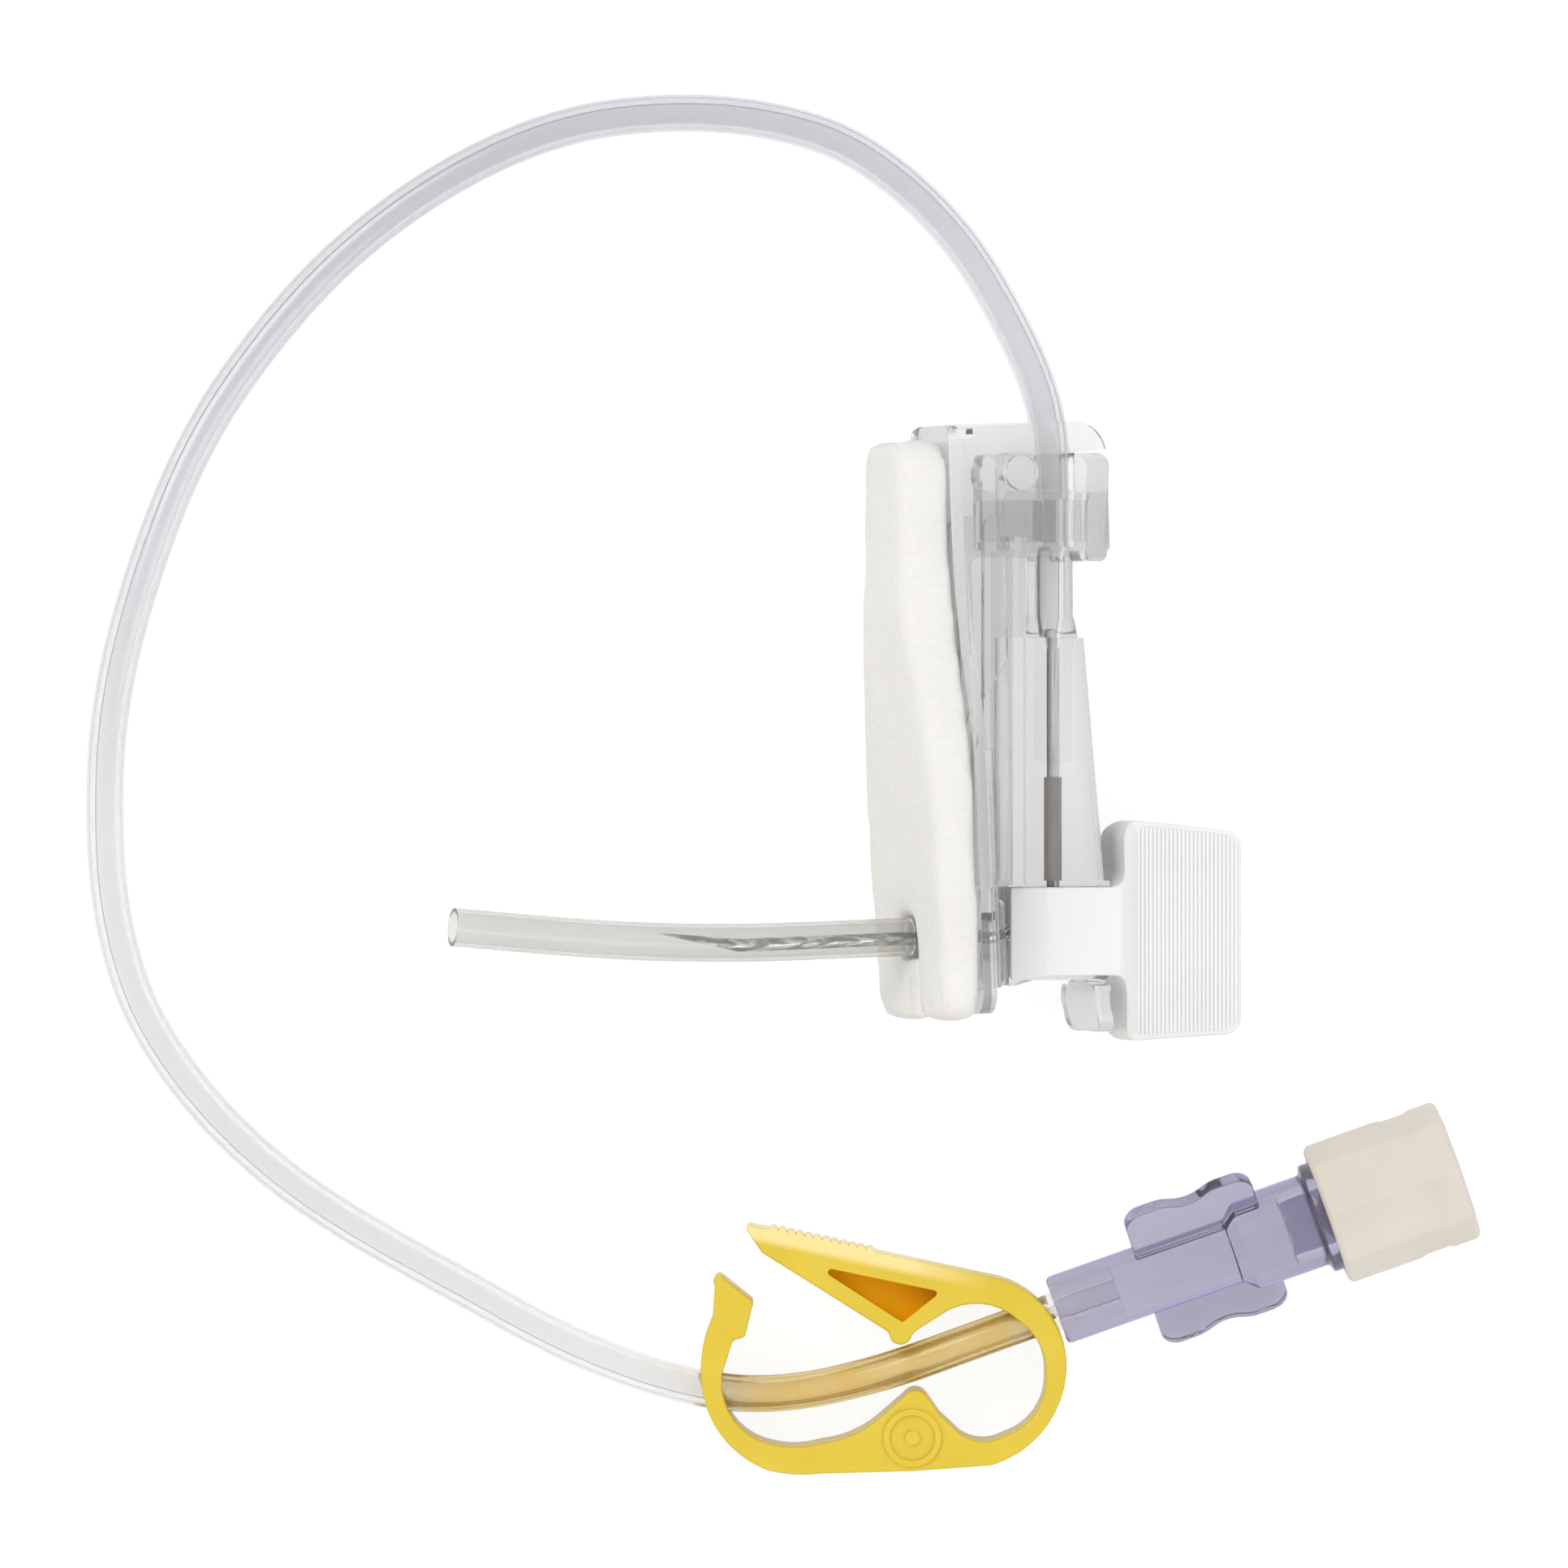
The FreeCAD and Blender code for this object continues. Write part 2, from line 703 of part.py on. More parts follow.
def pinch_clamp(tube_path):
    upwards = Vector(0, 0, clamp_depth)
    plate = Part.Face(traced_loop(clamp_outline())).extrude(upwards)
    window = rounded_loop([(-4.97, 5.93, clamp_window_corner), (3.95, 4.07, clamp_window_corner),
                           (1.24, 1.92, clamp_window_corner)], lambda x, y: Vector(x, y, 0))
    pocket = Part.Face(window).extrude(Vector(0, 0, clamp_window_depth))
    far_pocket = pocket.copy()
    far_pocket.translate(Vector(0, 0, clamp_depth - clamp_window_depth))
    shapes = [plate.cut(pocket).cut(far_pocket)]
    step = (Vector(*bump_last, 0) - Vector(*bump_first, 0)) * (1 / (grip_bumps - 1))
    for count in range(grip_bumps):
        place = Vector(*bump_first, 0) + step * count
        shapes.append(Part.makeCylinder(grip_bump_radius, clamp_depth, place))
    outer, inner, dot = clamp_mark_radii
    mark_place = Vector(*clamp_mark, clamp_depth - sink)
    mark_height = sink + clamp_mark_height
    ring = Part.makeCylinder(outer, mark_height, mark_place)
    ring = ring.cut(Part.makeCylinder(inner, mark_height, mark_place))
    shapes += [ring, Part.makeCylinder(dot, mark_height, mark_place)]
    clamp = joined(shapes)
    clamp.translate(pin_on_floor + Vector(*clamp_place, 0))
    holes = [passage(tube_path, clamp.BoundBox.XMin + clamp_wall / 2),
             passage(tube_path, clamp.BoundBox.XMax - clamp_wall / 2)]
    return clamp.cut(holes[0]).cut(holes[1])


# Luer connector and its cap, turned about the X axis, then laid along the connector's direction

def turned(profile):
    """A solid of revolution about the X axis, from (x, radius) corners."""
    points = [Vector(x, r, 0) for x, r in profile]
    face = Part.Face(Part.makePolygon(points + points[:1]))
    return face.revolve(Vector(0, 0, 0), Vector(1, 0, 0), 360)


def laid(shape):
    """A shape of the connector's frame in its place on the floor."""
    moved = shape.copy()
    moved.rotate(Vector(0, 0, 0), Vector(0, 0, 1), luer_angle)
    moved.translate(luer_start)
    return moved


def luer_wings():
    """Two flat finger wings with a dip in the middle of each outer edge."""
    middle = (wing_start + wing_end) / 2
    half = [
        (wing_start, 0.0, 0.0),
        (wing_start, wing_reach, wing_corner),
        (wing_start + wing_shoulder, wing_reach, wing_curve),
        (middle, wing_reach - wing_waist, wing_curve),
        (wing_end - wing_shoulder, wing_reach, wing_curve),
        (wing_end, wing_reach, wing_corner),
        (wing_end, 0.0, 0.0),
    ]
    loop = rounded_loop(half, lambda x, y: Vector(x, y, -wing_thickness / 2))
    wing = Part.Face(loop).extrude(Vector(0, 0, wing_thickness))
    wings = [wing, wing.mirror(Vector(0, 0, 0), Vector(0, 1, 0))]
    for one in wings:
        one.rotate(Vector(0, 0, 0), Vector(1, 0, 0), wing_roll)
    return wings


def luer_connector():
    socket_floor = mouth_place - luer_depth
    outside = turned([
        (0.0, 0.0),
        (0.0, sleeve_radius - lug_slope),
        (lug_slope, sleeve_radius),
        (barrel_start, sleeve_radius),
        (barrel_start + shoulder_length, barrel_radius),
        (lug_start, barrel_radius),
        (lug_start + lug_slope, lug_radius),
        (lug_start + lug_length, lug_radius),
        (lug_start + lug_length + lug_slope, barrel_radius),
        (mouth_place, barrel_radius - lug_slope / 2),
        (mouth_place, 0.0),
    ])
    inside = turned([
        (-spare, 0.0),
        (-spare, tube_radius + bond_fit),
        (tube_depth, tube_radius + bond_fit),
        (tube_depth, flow_bore),
        (socket_floor, flow_bore),
        (socket_floor, mouth_radius - luer_taper * luer_depth),
        (mouth_place, mouth_radius),
        (mouth_place + spare, mouth_radius),
        (mouth_place + spare, 0.0),
    ])
    return laid(joined([outside] + luer_wings()).cut(inside))


def ring_of_flats(x, flat_radius):
    """A wire with the cap's flats at one place along its axis."""
    corner_radius = flat_radius / math.cos(math.pi / cap_sides)
    corners = []
    for count in range(cap_sides):
        angle = math.radians(cap_turn) + count * 2 * math.pi / cap_sides
        corners.append(Vector(x, corner_radius * math.cos(angle), corner_radius * math.sin(angle)))
    return Part.makePolygon(corners + corners[:1])


def luer_cap():
    """A closed cap with flats outside, a shallow waist round it, and a tapered plug inside."""
    cavity_radius = lug_radius + cap_cavity_fit
    waist_start = cap_start + groove_start
    waist_end = waist_start + groove_width
    waist_radius = cap_flat_radius - groove_depth
    outside = Part.makeLoft([
        ring_of_flats(cap_start, cap_flat_radius - cap_edge),
        ring_of_flats(cap_start + cap_edge, cap_flat_radius),
        ring_of_flats(waist_start, cap_flat_radius),
        ring_of_flats(waist_start + groove_slope, waist_radius),
        ring_of_flats(waist_end - groove_slope, waist_radius),
        ring_of_flats(waist_end, cap_flat_radius),
        ring_of_flats(cap_end - cap_edge, cap_flat_radius),
        ring_of_flats(cap_end, cap_flat_radius - cap_edge),
    ], True, True)
    cavity = turned([
        (cap_start - spare, 0.0),
        (cap_start - spare, cavity_radius),
        (cavity_end, cavity_radius),
        (cavity_end, 0.0),
    ])
    plug_tip = cavity_end - cap_plug_length
    plug_root = mouth_radius - cap_plug_fit
    plug = turned([
        (plug_tip, 0.0),
        (plug_tip, plug_root - luer_taper * (mouth_place - plug_tip)),
        (cavity_end + sink, plug_root),
        (cavity_end + sink, 0.0),
    ])
    return laid(joined([outside.cut(cavity), plug]))


def tube_route():
    """The tube's corner points, from the bottom of its socket in the hub to the connector."""
    inside = placed_point(body(tube_height, socket_end))
    leaving = placed_point(body(tube_height, exit_place))
    floor_points = [pin_on_floor + Vector(*point) for point in route]
    before = luer_start - luer_direction * bend_before_sleeve
    end = luer_start + luer_direction * tube_depth
    return [inside, leaving] + floor_points + [before, end]


def route_radii(points):
    """For each inner point, 0.45 of its shorter run over the tangent of half its turn."""
    radii = []
    for index in range(1, len(points) - 1):
        back = points[index - 1] - points[index]
        ahead = points[index + 1] - points[index]
        half_turn = (math.pi - back.getAngle(ahead)) / 2
        radii.append(0.45 * min(back.Length, ahead.Length) / math.tan(half_turn))
    return radii


def tubing(tube_path):
    """The clear tube, bored where the cannula enters it."""
    rod = rod_along(tube_path, tube_radius)
    bore = along_body(tube_bore / 2, cannula_start - spare, socket_end + spare)
    return rod.cut(placed(bore))


# The body is built, tilted, and set down with its middle over the origin

base_frame = {"base_plate": base_plate(), "foam_pad": foam_pad()}
for shape in base_frame.values():
    shape.rotate(Vector(0, 0, 0), Vector(0, 0, 1), base_turn)
arm_frame = {
    "safety_arm": safety_arm(),
    "cannula": cannula(),
    "needle_bond": needle_bond(),
    "grip_handle": grip_handle(),
    "needle_sheath": needle_sheath(),
}
body_pieces = {**base_frame, **arm_frame}
for shape in body_pieces.values():
    shape.rotate(Vector(0, 0, 0), Vector(0, 1, 0), tilt)
room = Part.makeCompound(list(body_pieces.values())).BoundBox
pin_place = Vector(-room.Center.x, -room.Center.y, -room.ZMin)
pin_on_floor = Vector(pin_place.x, pin_place.y, 0)


def placed_point(point):
    """A point of the body's own frame in its place on the floor."""
    return FreeCAD.Rotation(Vector(0, 1, 0), tilt).multVec(point) + pin_place


def placed(shape):
    """A shape of the body's own frame in its place on the floor."""
    moved = shape.copy()
    moved.rotate(Vector(0, 0, 0), Vector(0, 1, 0), tilt)
    moved.translate(pin_place)
    return moved


for shape in body_pieces.values():
    shape.translate(pin_place)
luer_direction = Vector(math.cos(math.radians(luer_angle)), math.sin(math.radians(luer_angle)), 0)
luer_start = pin_on_floor + Vector(*luer_place, luer_height)
corner_points = tube_route()
radii = route_radii(corner_points)
tube_path = arc_path(corner_points, radii)

pieces = {
    **body_pieces,
    "tubing": tubing(tube_path),
    "pinch_clamp": pinch_clamp(tube_path),
    "luer_connector": luer_connector(),
    "luer_cap": luer_cap(),
}

os.makedirs("parts", exist_ok=True)
for name, shape in pieces.items():
    print(name, "solids", len(shape.Solids), "valid", shape.isValid(), "volume", round(shape.Volume, 3))
    shape.exportStep("parts/" + name + ".step")
print("tilt", round(tilt, 3), "pin", [round(value, 3) for value in pin_place])
print("tube radii", [round(radius, 1) for radius in radii])
solid_rod = rod_along(tube_path, tube_radius)
print("tube length", round(tube_path.Length, 2), "volume share",
      round(solid_rod.Volume / (math.pi * tube_radius ** 2 * tube_path.Length), 5))
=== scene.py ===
# %% [markdown]
# # A safety needle set for an implanted port
#
# The real thing is a small disposable: a bent steel needle in a clear folding body, a foam pad for the
# skin, a white grip, a clear tube, a yellow clamp and a violet connector with an ivory cap. The packed
# model gives every piece its place and size in metres. This lesson dresses those pieces: it rounds their
# edges, gives each one its own material, and makes the soft ones, the tube and the foam, afresh.

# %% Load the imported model
import json
import math

import bmesh
import bpy
from mathutils import Matrix, Vector, noise


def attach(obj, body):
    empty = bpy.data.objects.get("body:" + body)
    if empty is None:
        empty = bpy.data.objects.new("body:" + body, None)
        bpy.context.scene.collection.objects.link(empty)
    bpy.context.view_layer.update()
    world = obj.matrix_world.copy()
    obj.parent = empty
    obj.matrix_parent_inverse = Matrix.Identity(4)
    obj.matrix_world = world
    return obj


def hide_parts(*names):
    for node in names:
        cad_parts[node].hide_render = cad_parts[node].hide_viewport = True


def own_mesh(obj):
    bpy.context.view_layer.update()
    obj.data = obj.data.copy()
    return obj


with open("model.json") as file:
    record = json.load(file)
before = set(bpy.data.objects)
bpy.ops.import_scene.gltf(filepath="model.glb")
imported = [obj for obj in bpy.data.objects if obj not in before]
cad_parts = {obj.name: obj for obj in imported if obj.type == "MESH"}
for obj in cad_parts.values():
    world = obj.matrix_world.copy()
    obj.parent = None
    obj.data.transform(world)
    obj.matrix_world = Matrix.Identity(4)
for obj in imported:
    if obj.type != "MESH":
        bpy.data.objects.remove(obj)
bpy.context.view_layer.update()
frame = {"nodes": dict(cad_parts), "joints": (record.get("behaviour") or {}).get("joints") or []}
scene = bpy.context.scene
print("nodes", sorted(frame["nodes"]))

# %% [markdown]
# ## Sizes that the pieces share
#
# The needle body lies tilted on the floor, so its own directions are the handiest way to name a place in
# it: outwards from the skin, from the hinge to the needle, and across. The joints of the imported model
# hold two of these directions and the hinge's place, so they are read from there and can't drift apart
# from the model.

# %% The needle body's own directions
MM = 0.001
joints = {joint["name"]: joint for joint in frame["joints"]}
pin = Vector(joints["base_fold"]["pos_m"])
outwards = Vector(joints["grip_pull"]["axis"]).normalized()
across = -Vector(joints["base_fold"]["axis"]).normalized()
to_needle = outwards.cross(across).normalized()
if to_needle.y > 0:
    to_needle = -to_needle
base_turn = math.radians(2.06)


def body_point(n, u, w=0.0):
    """A place n mm out from the pin, u mm from the hinge towards the needle and w mm across."""
    return pin + (outwards * n + to_needle * u + across * w) * MM


def base_point(n, u, w=0.0):
    """The same for the base, which lies turned a little about the pin."""
    return body_point(n * math.cos(base_turn) + u * math.sin(base_turn),
                      u * math.cos(base_turn) - n * math.sin(base_turn), w)


def base_numbers(point):
    """The n, u and w of a point in the base's own directions, in mm."""
    away = (point - pin) / MM
    n, u, w = away.dot(outwards), away.dot(to_needle), away.dot(across)
    return (n * math.cos(base_turn) - u * math.sin(base_turn),
            u * math.cos(base_turn) + n * math.sin(base_turn), w)


print("pin", [round(value / MM, 2) for value in pin])

# %% [markdown]
# ## Writing materials as sums
#
# A procedural material is a small formula: a pattern times a colour, plus a bit of another pattern. Wiring
# that by hand hides the formula, so a socket is wrapped in a class whose operators add Math nodes, and one
# method adds any other node. The formula then reads as plain Python. The same class serves Geometry
# Nodes, whose Math node is the same one.


# %% A socket that can be added and multiplied
FADE_IN = [(0.0, 0.0), (1.0, 1.0)]
SOFT_PATCHES = [(0.35, 0.0), (0.65, 1.0)]


class Socket:
    """An output of a node tree that can stand in an expression."""

    def __init__(self, nodes, socket):
        self.nodes = nodes
        self.socket = socket

    def __getitem__(self, output):
        """Another output of the same node, by its name or number."""
        return Socket(self.nodes, self.socket.node.outputs[output])

    def with_other(self, operation, first, second):
        return self.nodes.add("ShaderNodeMath", {"operation": operation}, {0: first, 1: second})

    def __add__(self, other):
        return self.with_other("ADD", self, other)

    def __radd__(self, other):
        return self.with_other("ADD", other, self)

    def __sub__(self, other):
        return self.with_other("SUBTRACT", self, other)

    def __rsub__(self, other):
        return self.with_other("SUBTRACT", other, self)

    def __mul__(self, other):
        return self.with_other("MULTIPLY", self, other)

    def __rmul__(self, other):
        return self.with_other("MULTIPLY", other, self)

    def __truediv__(self, other):
        return self.with_other("DIVIDE", self, other)

    def __pow__(self, other):
        return self.with_other("POWER", self, other)


class Nodes:
    """A node tree under construction."""

    def __init__(self, tree):
        self.tree = tree

    def add(self, kind, settings=None, inputs=None, output=0):
        """Adds a node: its settings first, then its sockets, and gives one of its outputs."""
        node = self.tree.nodes.new(kind)
        for name, value in (settings or {}).items():
            if name == "stops":
                ramp = node.color_ramp.elements
                while len(ramp) < len(value):
                    ramp.new(0.5)
                for element, (position, level) in zip(ramp, value):
                    element.position = position
                    element.color = (level, level, level, 1.0)
            else:
                setattr(node, name, value)
        for name, value in (inputs or {}).items():
            if isinstance(value, Socket):
                self.tree.links.new(value.socket, node.inputs[name])
            else:
                node.inputs[name].default_value = value
        return Socket(self, node.outputs[output]) if len(node.outputs) else None

    def greater(self, first, second):
        return self.add("ShaderNodeMath", {"operation": "MAXIMUM"}, {0: first, 1: second})

    def smaller(self, first, second):
        return self.add("ShaderNodeMath", {"operation": "MINIMUM"}, {0: first, 1: second})


class Shader(Nodes):
    """A material under construction."""

    def __init__(self, name):
        self.material = bpy.data.materials.new(name)
        self.material.use_nodes = True
        super().__init__(self.material.node_tree)
        self.tree.nodes.clear()

    def place(self):
        """The point being shaded, in metres in the piece's own space."""
        return self.add("ShaderNodeTexCoord", output="Object")

    def stretched(self, scale, turn=(0.0, 0.0, 0.0)):
        """The point being shaded after a turn and a stretch, for patterns that run one way."""
        return self.add("ShaderNodeMapping", {}, {"Vector": self.place(), "Rotation": turn, "Scale": scale})

    def noise(self, vector, scale, detail=3.0, roughness=0.5):
        return self.add("ShaderNodeTexNoise", {}, {"Vector": vector, "Scale": scale, "Detail": detail,
                                                   "Roughness": roughness})

    def ramp(self, value, stops):
        """Turns a value into a mask between 0 and 1 by its stops."""
        return self.add("ShaderNodeValToRGB", {"stops": stops}, {"Fac": value})

    def mixed(self, factor, first, second):
        """A colour between two others."""
        return self.add("ShaderNodeMix", {"data_type": "RGBA"}, {0: factor, 6: first, 7: second}, 2)

    def bump(self, height, strength, distance):
        return self.add("ShaderNodeBump", {}, {"Height": height, "Strength": strength, "Distance": distance})

    def along(self, start, direction):
        """How far the shaded point lies from a start along a direction, in mm."""
        away = self.add("ShaderNodeVectorMath", {"operation": "SUBTRACT"}, {0: self.place(), 1: start})
        return self.add("ShaderNodeVectorMath", {"operation": "DOT_PRODUCT"},
                        {0: away, 1: direction}, "Value") / MM

    def finish(self, **inputs):
        """The closing Principled shader. Underscores in the names stand for spaces."""
        named = {name.replace("_", " "): value for name, value in inputs.items()}
        surface = self.add("ShaderNodeBsdfPrincipled", {}, named)
        self.add("ShaderNodeOutputMaterial", {}, {"Surface": surface})
        return self.material


def colour(red, green, blue):
    """A colour picked on a screen, 0 to 255, as the linear values that shaders take."""
    parts = []
    for part in (red, green, blue):
        share = part / 255
        parts.append(share / 12.92 if share <= 0.04045 else ((share + 0.055) / 1.055) ** 2.4)
    return (*parts, 1.0)


# %% [markdown]
# ## Clear mouldings
#
# The base and the arm are clear plastic. Light goes through it, bends at each wall, and this bending draws
# the bright and dark lines by which we see the shape at all. A transmission shader does that by itself.
# Real mouldings are a little milky too: some light stays in them, so that no wall looks black and many
# walls in a row still look pale. A small opaque share does that. Rims seen edge on are painted darker:
# Layer Weight spreads this painted shade into the colour by how edge on a face is seen. Where glue fills
# a joint, light crosses it almost straight, so the walls of a glued bore get a skin that hardly bends it.


# %% Clear and tinted plastic
def clear_plastic(name, face, edge_on_shade, index, milk, haze):
    """Plastic that light goes through: its colour seen straight on, the painted shade for rims seen edge
    on, how much it bends light, its opaque share and its roughness."""
    shader = Shader(name)
    slow = shader.noise(shader.place(), 260.0, 2.0)
    fine = shader.noise(shader.place(), 2600.0, 2.0)
    grazing = shader.add("ShaderNodeLayerWeight", {}, {"Blend": 0.5}, "Facing")
    # painted shade: faces seen edge on take the darker rim colour
    skin = shader.mixed(shader.ramp(grazing, [(0.35, 0.0), (0.85, 1.0)]), face, edge_on_shade)
    return shader.finish(Base_Color=skin, Transmission_Weight=1.0 - milk, IOR=index,
                         Roughness=haze + fine * haze, Normal=shader.bump(slow, 0.03, 0.0004))


def glued_wall():
    """A skin that light crosses almost straight."""
    shader = Shader("glued_wall")
    return shader.finish(Base_Color=colour(252, 252, 253), Transmission_Weight=1.0, IOR=1.02,
                         Roughness=0.0)


body_plastic = clear_plastic("clear_plastic", face=colour(250, 250, 250), edge_on_shade=colour(208, 207, 211),
                             index=1.38, milk=0.10, haze=0.02)
sheath_plastic = clear_plastic("sheath_plastic", face=colour(236, 236, 233), edge_on_shade=colour(206, 204, 198),
                               index=1.28, milk=0.14, haze=0.03)
violet_plastic = clear_plastic("violet_plastic", face=colour(191, 188, 208), edge_on_shade=colour(98, 90, 188),
                               index=1.40, milk=0.10, haze=0.03)
glued_plastic = glued_wall()
print("made", body_plastic.name, sheath_plastic.name, violet_plastic.name, glued_plastic.name)

# %% [markdown]
# ## The tube's plastic
#
# Inside the clamp the tube looks amber, because the yellow walls shine through it. That amber light is
# painted into the colour: a mask along its length carries it, so the rest of the tube stays a cool grey, a
# little deeper towards the hinge. The bore has one thin painted dark line along its outer side, painted
# shade for the dark line that its edge shows.

# %% Tube plastic
CLAMP_MIDDLE = Vector((pin.x - 8.25 * MM, pin.y - 60.96 * MM, 0.0))
CLAMP_HALF_LENGTH = 12.4
CLAMP_REACH = 12.0
AMBER_FADE = 4.0
GREY_SPAN = 50.0


def tube_plastic():
    shader = Shader("tube_plastic")
    beside = shader.along(CLAMP_MIDDLE, (1.0, 0.0, 0.0))
    ahead = shader.along(CLAMP_MIDDLE, (0.0, 1.0, 0.0))
    far = shader.add("ShaderNodeMath", {"operation": "ABSOLUTE"}, {0: beside})
    # painted light: the amber that the yellow clamp throws on the tube, as a colour mask
    painted_amber_light = (shader.ramp((CLAMP_HALF_LENGTH - far) / AMBER_FADE, FADE_IN)
                * shader.ramp((CLAMP_REACH - ahead) / AMBER_FADE, FADE_IN))
    patches = shader.noise(shader.place(), 330.0, 2.0)
    at_hinge = shader.ramp(shader.along(pin, (0.0, 1.0, 0.0)) / GREY_SPAN + 0.5, FADE_IN)
    grey = shader.mixed(at_hinge, colour(254, 254, 255), colour(234, 234, 238))
    grey_and_painted_amber = shader.mixed(painted_amber_light * (0.55 + patches * 0.6), grey, colour(252, 230, 160))
    slow = shader.noise(shader.place(), 180.0, 2.0)
    return shader.finish(Base_Color=grey_and_painted_amber, Transmission_Weight=0.83, IOR=1.46, Roughness=0.03 + slow * 0.03,
                         Normal=shader.bump(slow, 0.01, 0.0004))


def tube_painted_dark_line():
    # painted shade: an opaque dark colour for the dark line along the bore's edge
    shader = Shader("tube_painted_dark_line")
    return shader.finish(Base_Color=colour(104, 102, 122), Roughness=0.5)


soft_tube_plastic = tube_plastic()
painted_line_plastic = tube_painted_dark_line()

# %% [markdown]
# ## Foam
#
# The pad's face is a fleece of fine fibres. Two stretched noises crossing each other give the fibres, a
# slow one gives the patches where the foam was pressed, and both work on the bump as well, so that the
# face takes the light like cloth and not like paper.


# %% Foam
def foam_finish():
    shader = Shader("foam")
    fibres = shader.noise(shader.stretched((900.0, 4200.0, 900.0), (0.2, 0.0, 0.3)), 1.0, 4.0, 0.6)
    crossing = shader.noise(shader.stretched((4200.0, 1100.0, 4200.0), (0.0, 0.4, -0.4)), 1.0, 4.0, 0.6)
    patches = shader.noise(shader.place(), 130.0, 2.0)
    cells = shader.noise(shader.place(), 5200.0, 2.0)
    tone = shader.ramp(fibres * 0.35 + crossing * 0.3 + patches * 0.35, SOFT_PATCHES)
    face = shader.mixed(tone, colour(229, 227, 222), colour(238, 237, 232))
    height = fibres * 0.5 + crossing * 0.3 + cells * 0.2
    return shader.finish(Base_Color=face, Roughness=0.95, Specular_IOR_Level=0.2, Sheen_Weight=0.15,
                         Subsurface_Weight=0.15, Subsurface_Scale=0.0008,
                         Normal=shader.bump(height, 0.6, 0.00018))


foam_cloth = foam_finish()

# %% [markdown]
# ## Opaque plastics
#
# The grip and the cap are moulded too, but light stays near their surface. They share one recipe: a
# colour with a slow drift, a satin gloss that varies a little, and the fine grain of the mould. The pocket
# in the clamp's lever is the same plastic as the clamp, painted a deeper yellow as shade, since light is
# caught in it.


# %% White and ivory plastic, and the pocket's painted shade
def moulded(name, main, other, rough, grain, glow=0.0, depth=0.001, shine=0.5):
    """Opaque plastic between two colours: its roughness and grain, the share of light that travels below
    its skin, how deep that goes in metres, and how strongly it mirrors."""
    shader = Shader(name)
    drift = shader.ramp(shader.noise(shader.place(), 150.0, 2.0), SOFT_PATCHES)
    fine = shader.noise(shader.place(), 4000.0, 2.0)
    return shader.finish(Base_Color=shader.mixed(drift, main, other), Roughness=rough + fine * 0.12,
                         Subsurface_Weight=glow, Subsurface_Scale=depth,
                         Subsurface_Radius=(1.0, 0.95, 0.9), Specular_IOR_Level=shine,
                         Normal=shader.bump(fine, grain, 0.00004))


grip_plastic = moulded("grip_plastic", colour(242, 242, 241), colour(239, 239, 238), rough=0.42, grain=0.2,
                       glow=0.3, depth=0.002)
ridge_plastic = moulded("ridge_plastic", colour(240, 240, 239), colour(236, 236, 235), rough=0.45,
                        grain=0.2)
# painted shade: a deeper yellow for the light caught in the lever's pocket
pocket_painted_shade = moulded("pocket_painted_shade", colour(248, 200, 0), colour(242, 188, 0), rough=0.40, grain=0.3,
                         shine=0.1)
cap_plastic = moulded("cap_plastic", colour(219, 211, 200), colour(213, 205, 192), rough=0.34, grain=0.3,
                      glow=0.10)

# %% [markdown]
# ## The clamp's yellow
#
# Light that enters the clamp's edge shows pale on the lever's long upper side, where the thumb presses.
# That light is painted into the colour as a pale strip, by a mask on the distance from that straight side.

# %% Clamp plastic
LEVER_PLACE = CLAMP_MIDDLE + Vector((-0.45, 6.78, 0.0)) * MM
OUT_OF_LEVER = Vector((0.209, 0.978, 0.0))
TO_LEVER_TIP = Vector((-0.978, 0.209, 0.0))
STRIP_WIDTH = 1.15
STRIP_FADE = 0.5
STRIP_START = 8.0
STRIP_START_FADE = 6.0


def clamp_finish():
    shader = Shader("clamp_plastic")
    drift = shader.ramp(shader.noise(shader.place(), 150.0, 2.0), SOFT_PATCHES)
    fine = shader.noise(shader.place(), 4000.0, 2.0)
    yellow = shader.mixed(drift, colour(224, 196, 54), colour(219, 190, 44))
    from_side = shader.along(LEVER_PLACE, OUT_OF_LEVER)
    towards_tip = shader.along(LEVER_PLACE, TO_LEVER_TIP)
    # painted light: a pale strip along the lever's upper side
    painted_light_strip = (shader.ramp((from_side + STRIP_WIDTH) / STRIP_FADE, FADE_IN)
             * shader.ramp((towards_tip + STRIP_START) / STRIP_START_FADE, FADE_IN))
    face = shader.mixed(painted_light_strip * 0.85, yellow, colour(250, 228, 158))
    return shader.finish(Base_Color=face, Roughness=0.30 + fine * 0.12, Subsurface_Weight=0.15,
                         Subsurface_Scale=0.001, Subsurface_Radius=(1.0, 0.8, 0.3),
                         Normal=shader.bump(fine, 0.35, 0.00004))


clamp_plastic = clamp_finish()

# %% [markdown]
# ## Steel and adhesive
#
# Drawing the needle through a die leaves fine streaks along it, which the bump and the roughness carry.
# The needle runs along two directions, so the shaft and the stretch inside the hub each get their own
# streaks, and a mask on how far out they lie picks between them. The colour carries painted reflections on
# the same streaks, from nearly black to bright, for the lamps and the dark room between them that polished
# steel mirrors. In the hub it mirrors less, because glue covers it.


# %% Steel and adhesive
HUB_FROM = 1.5


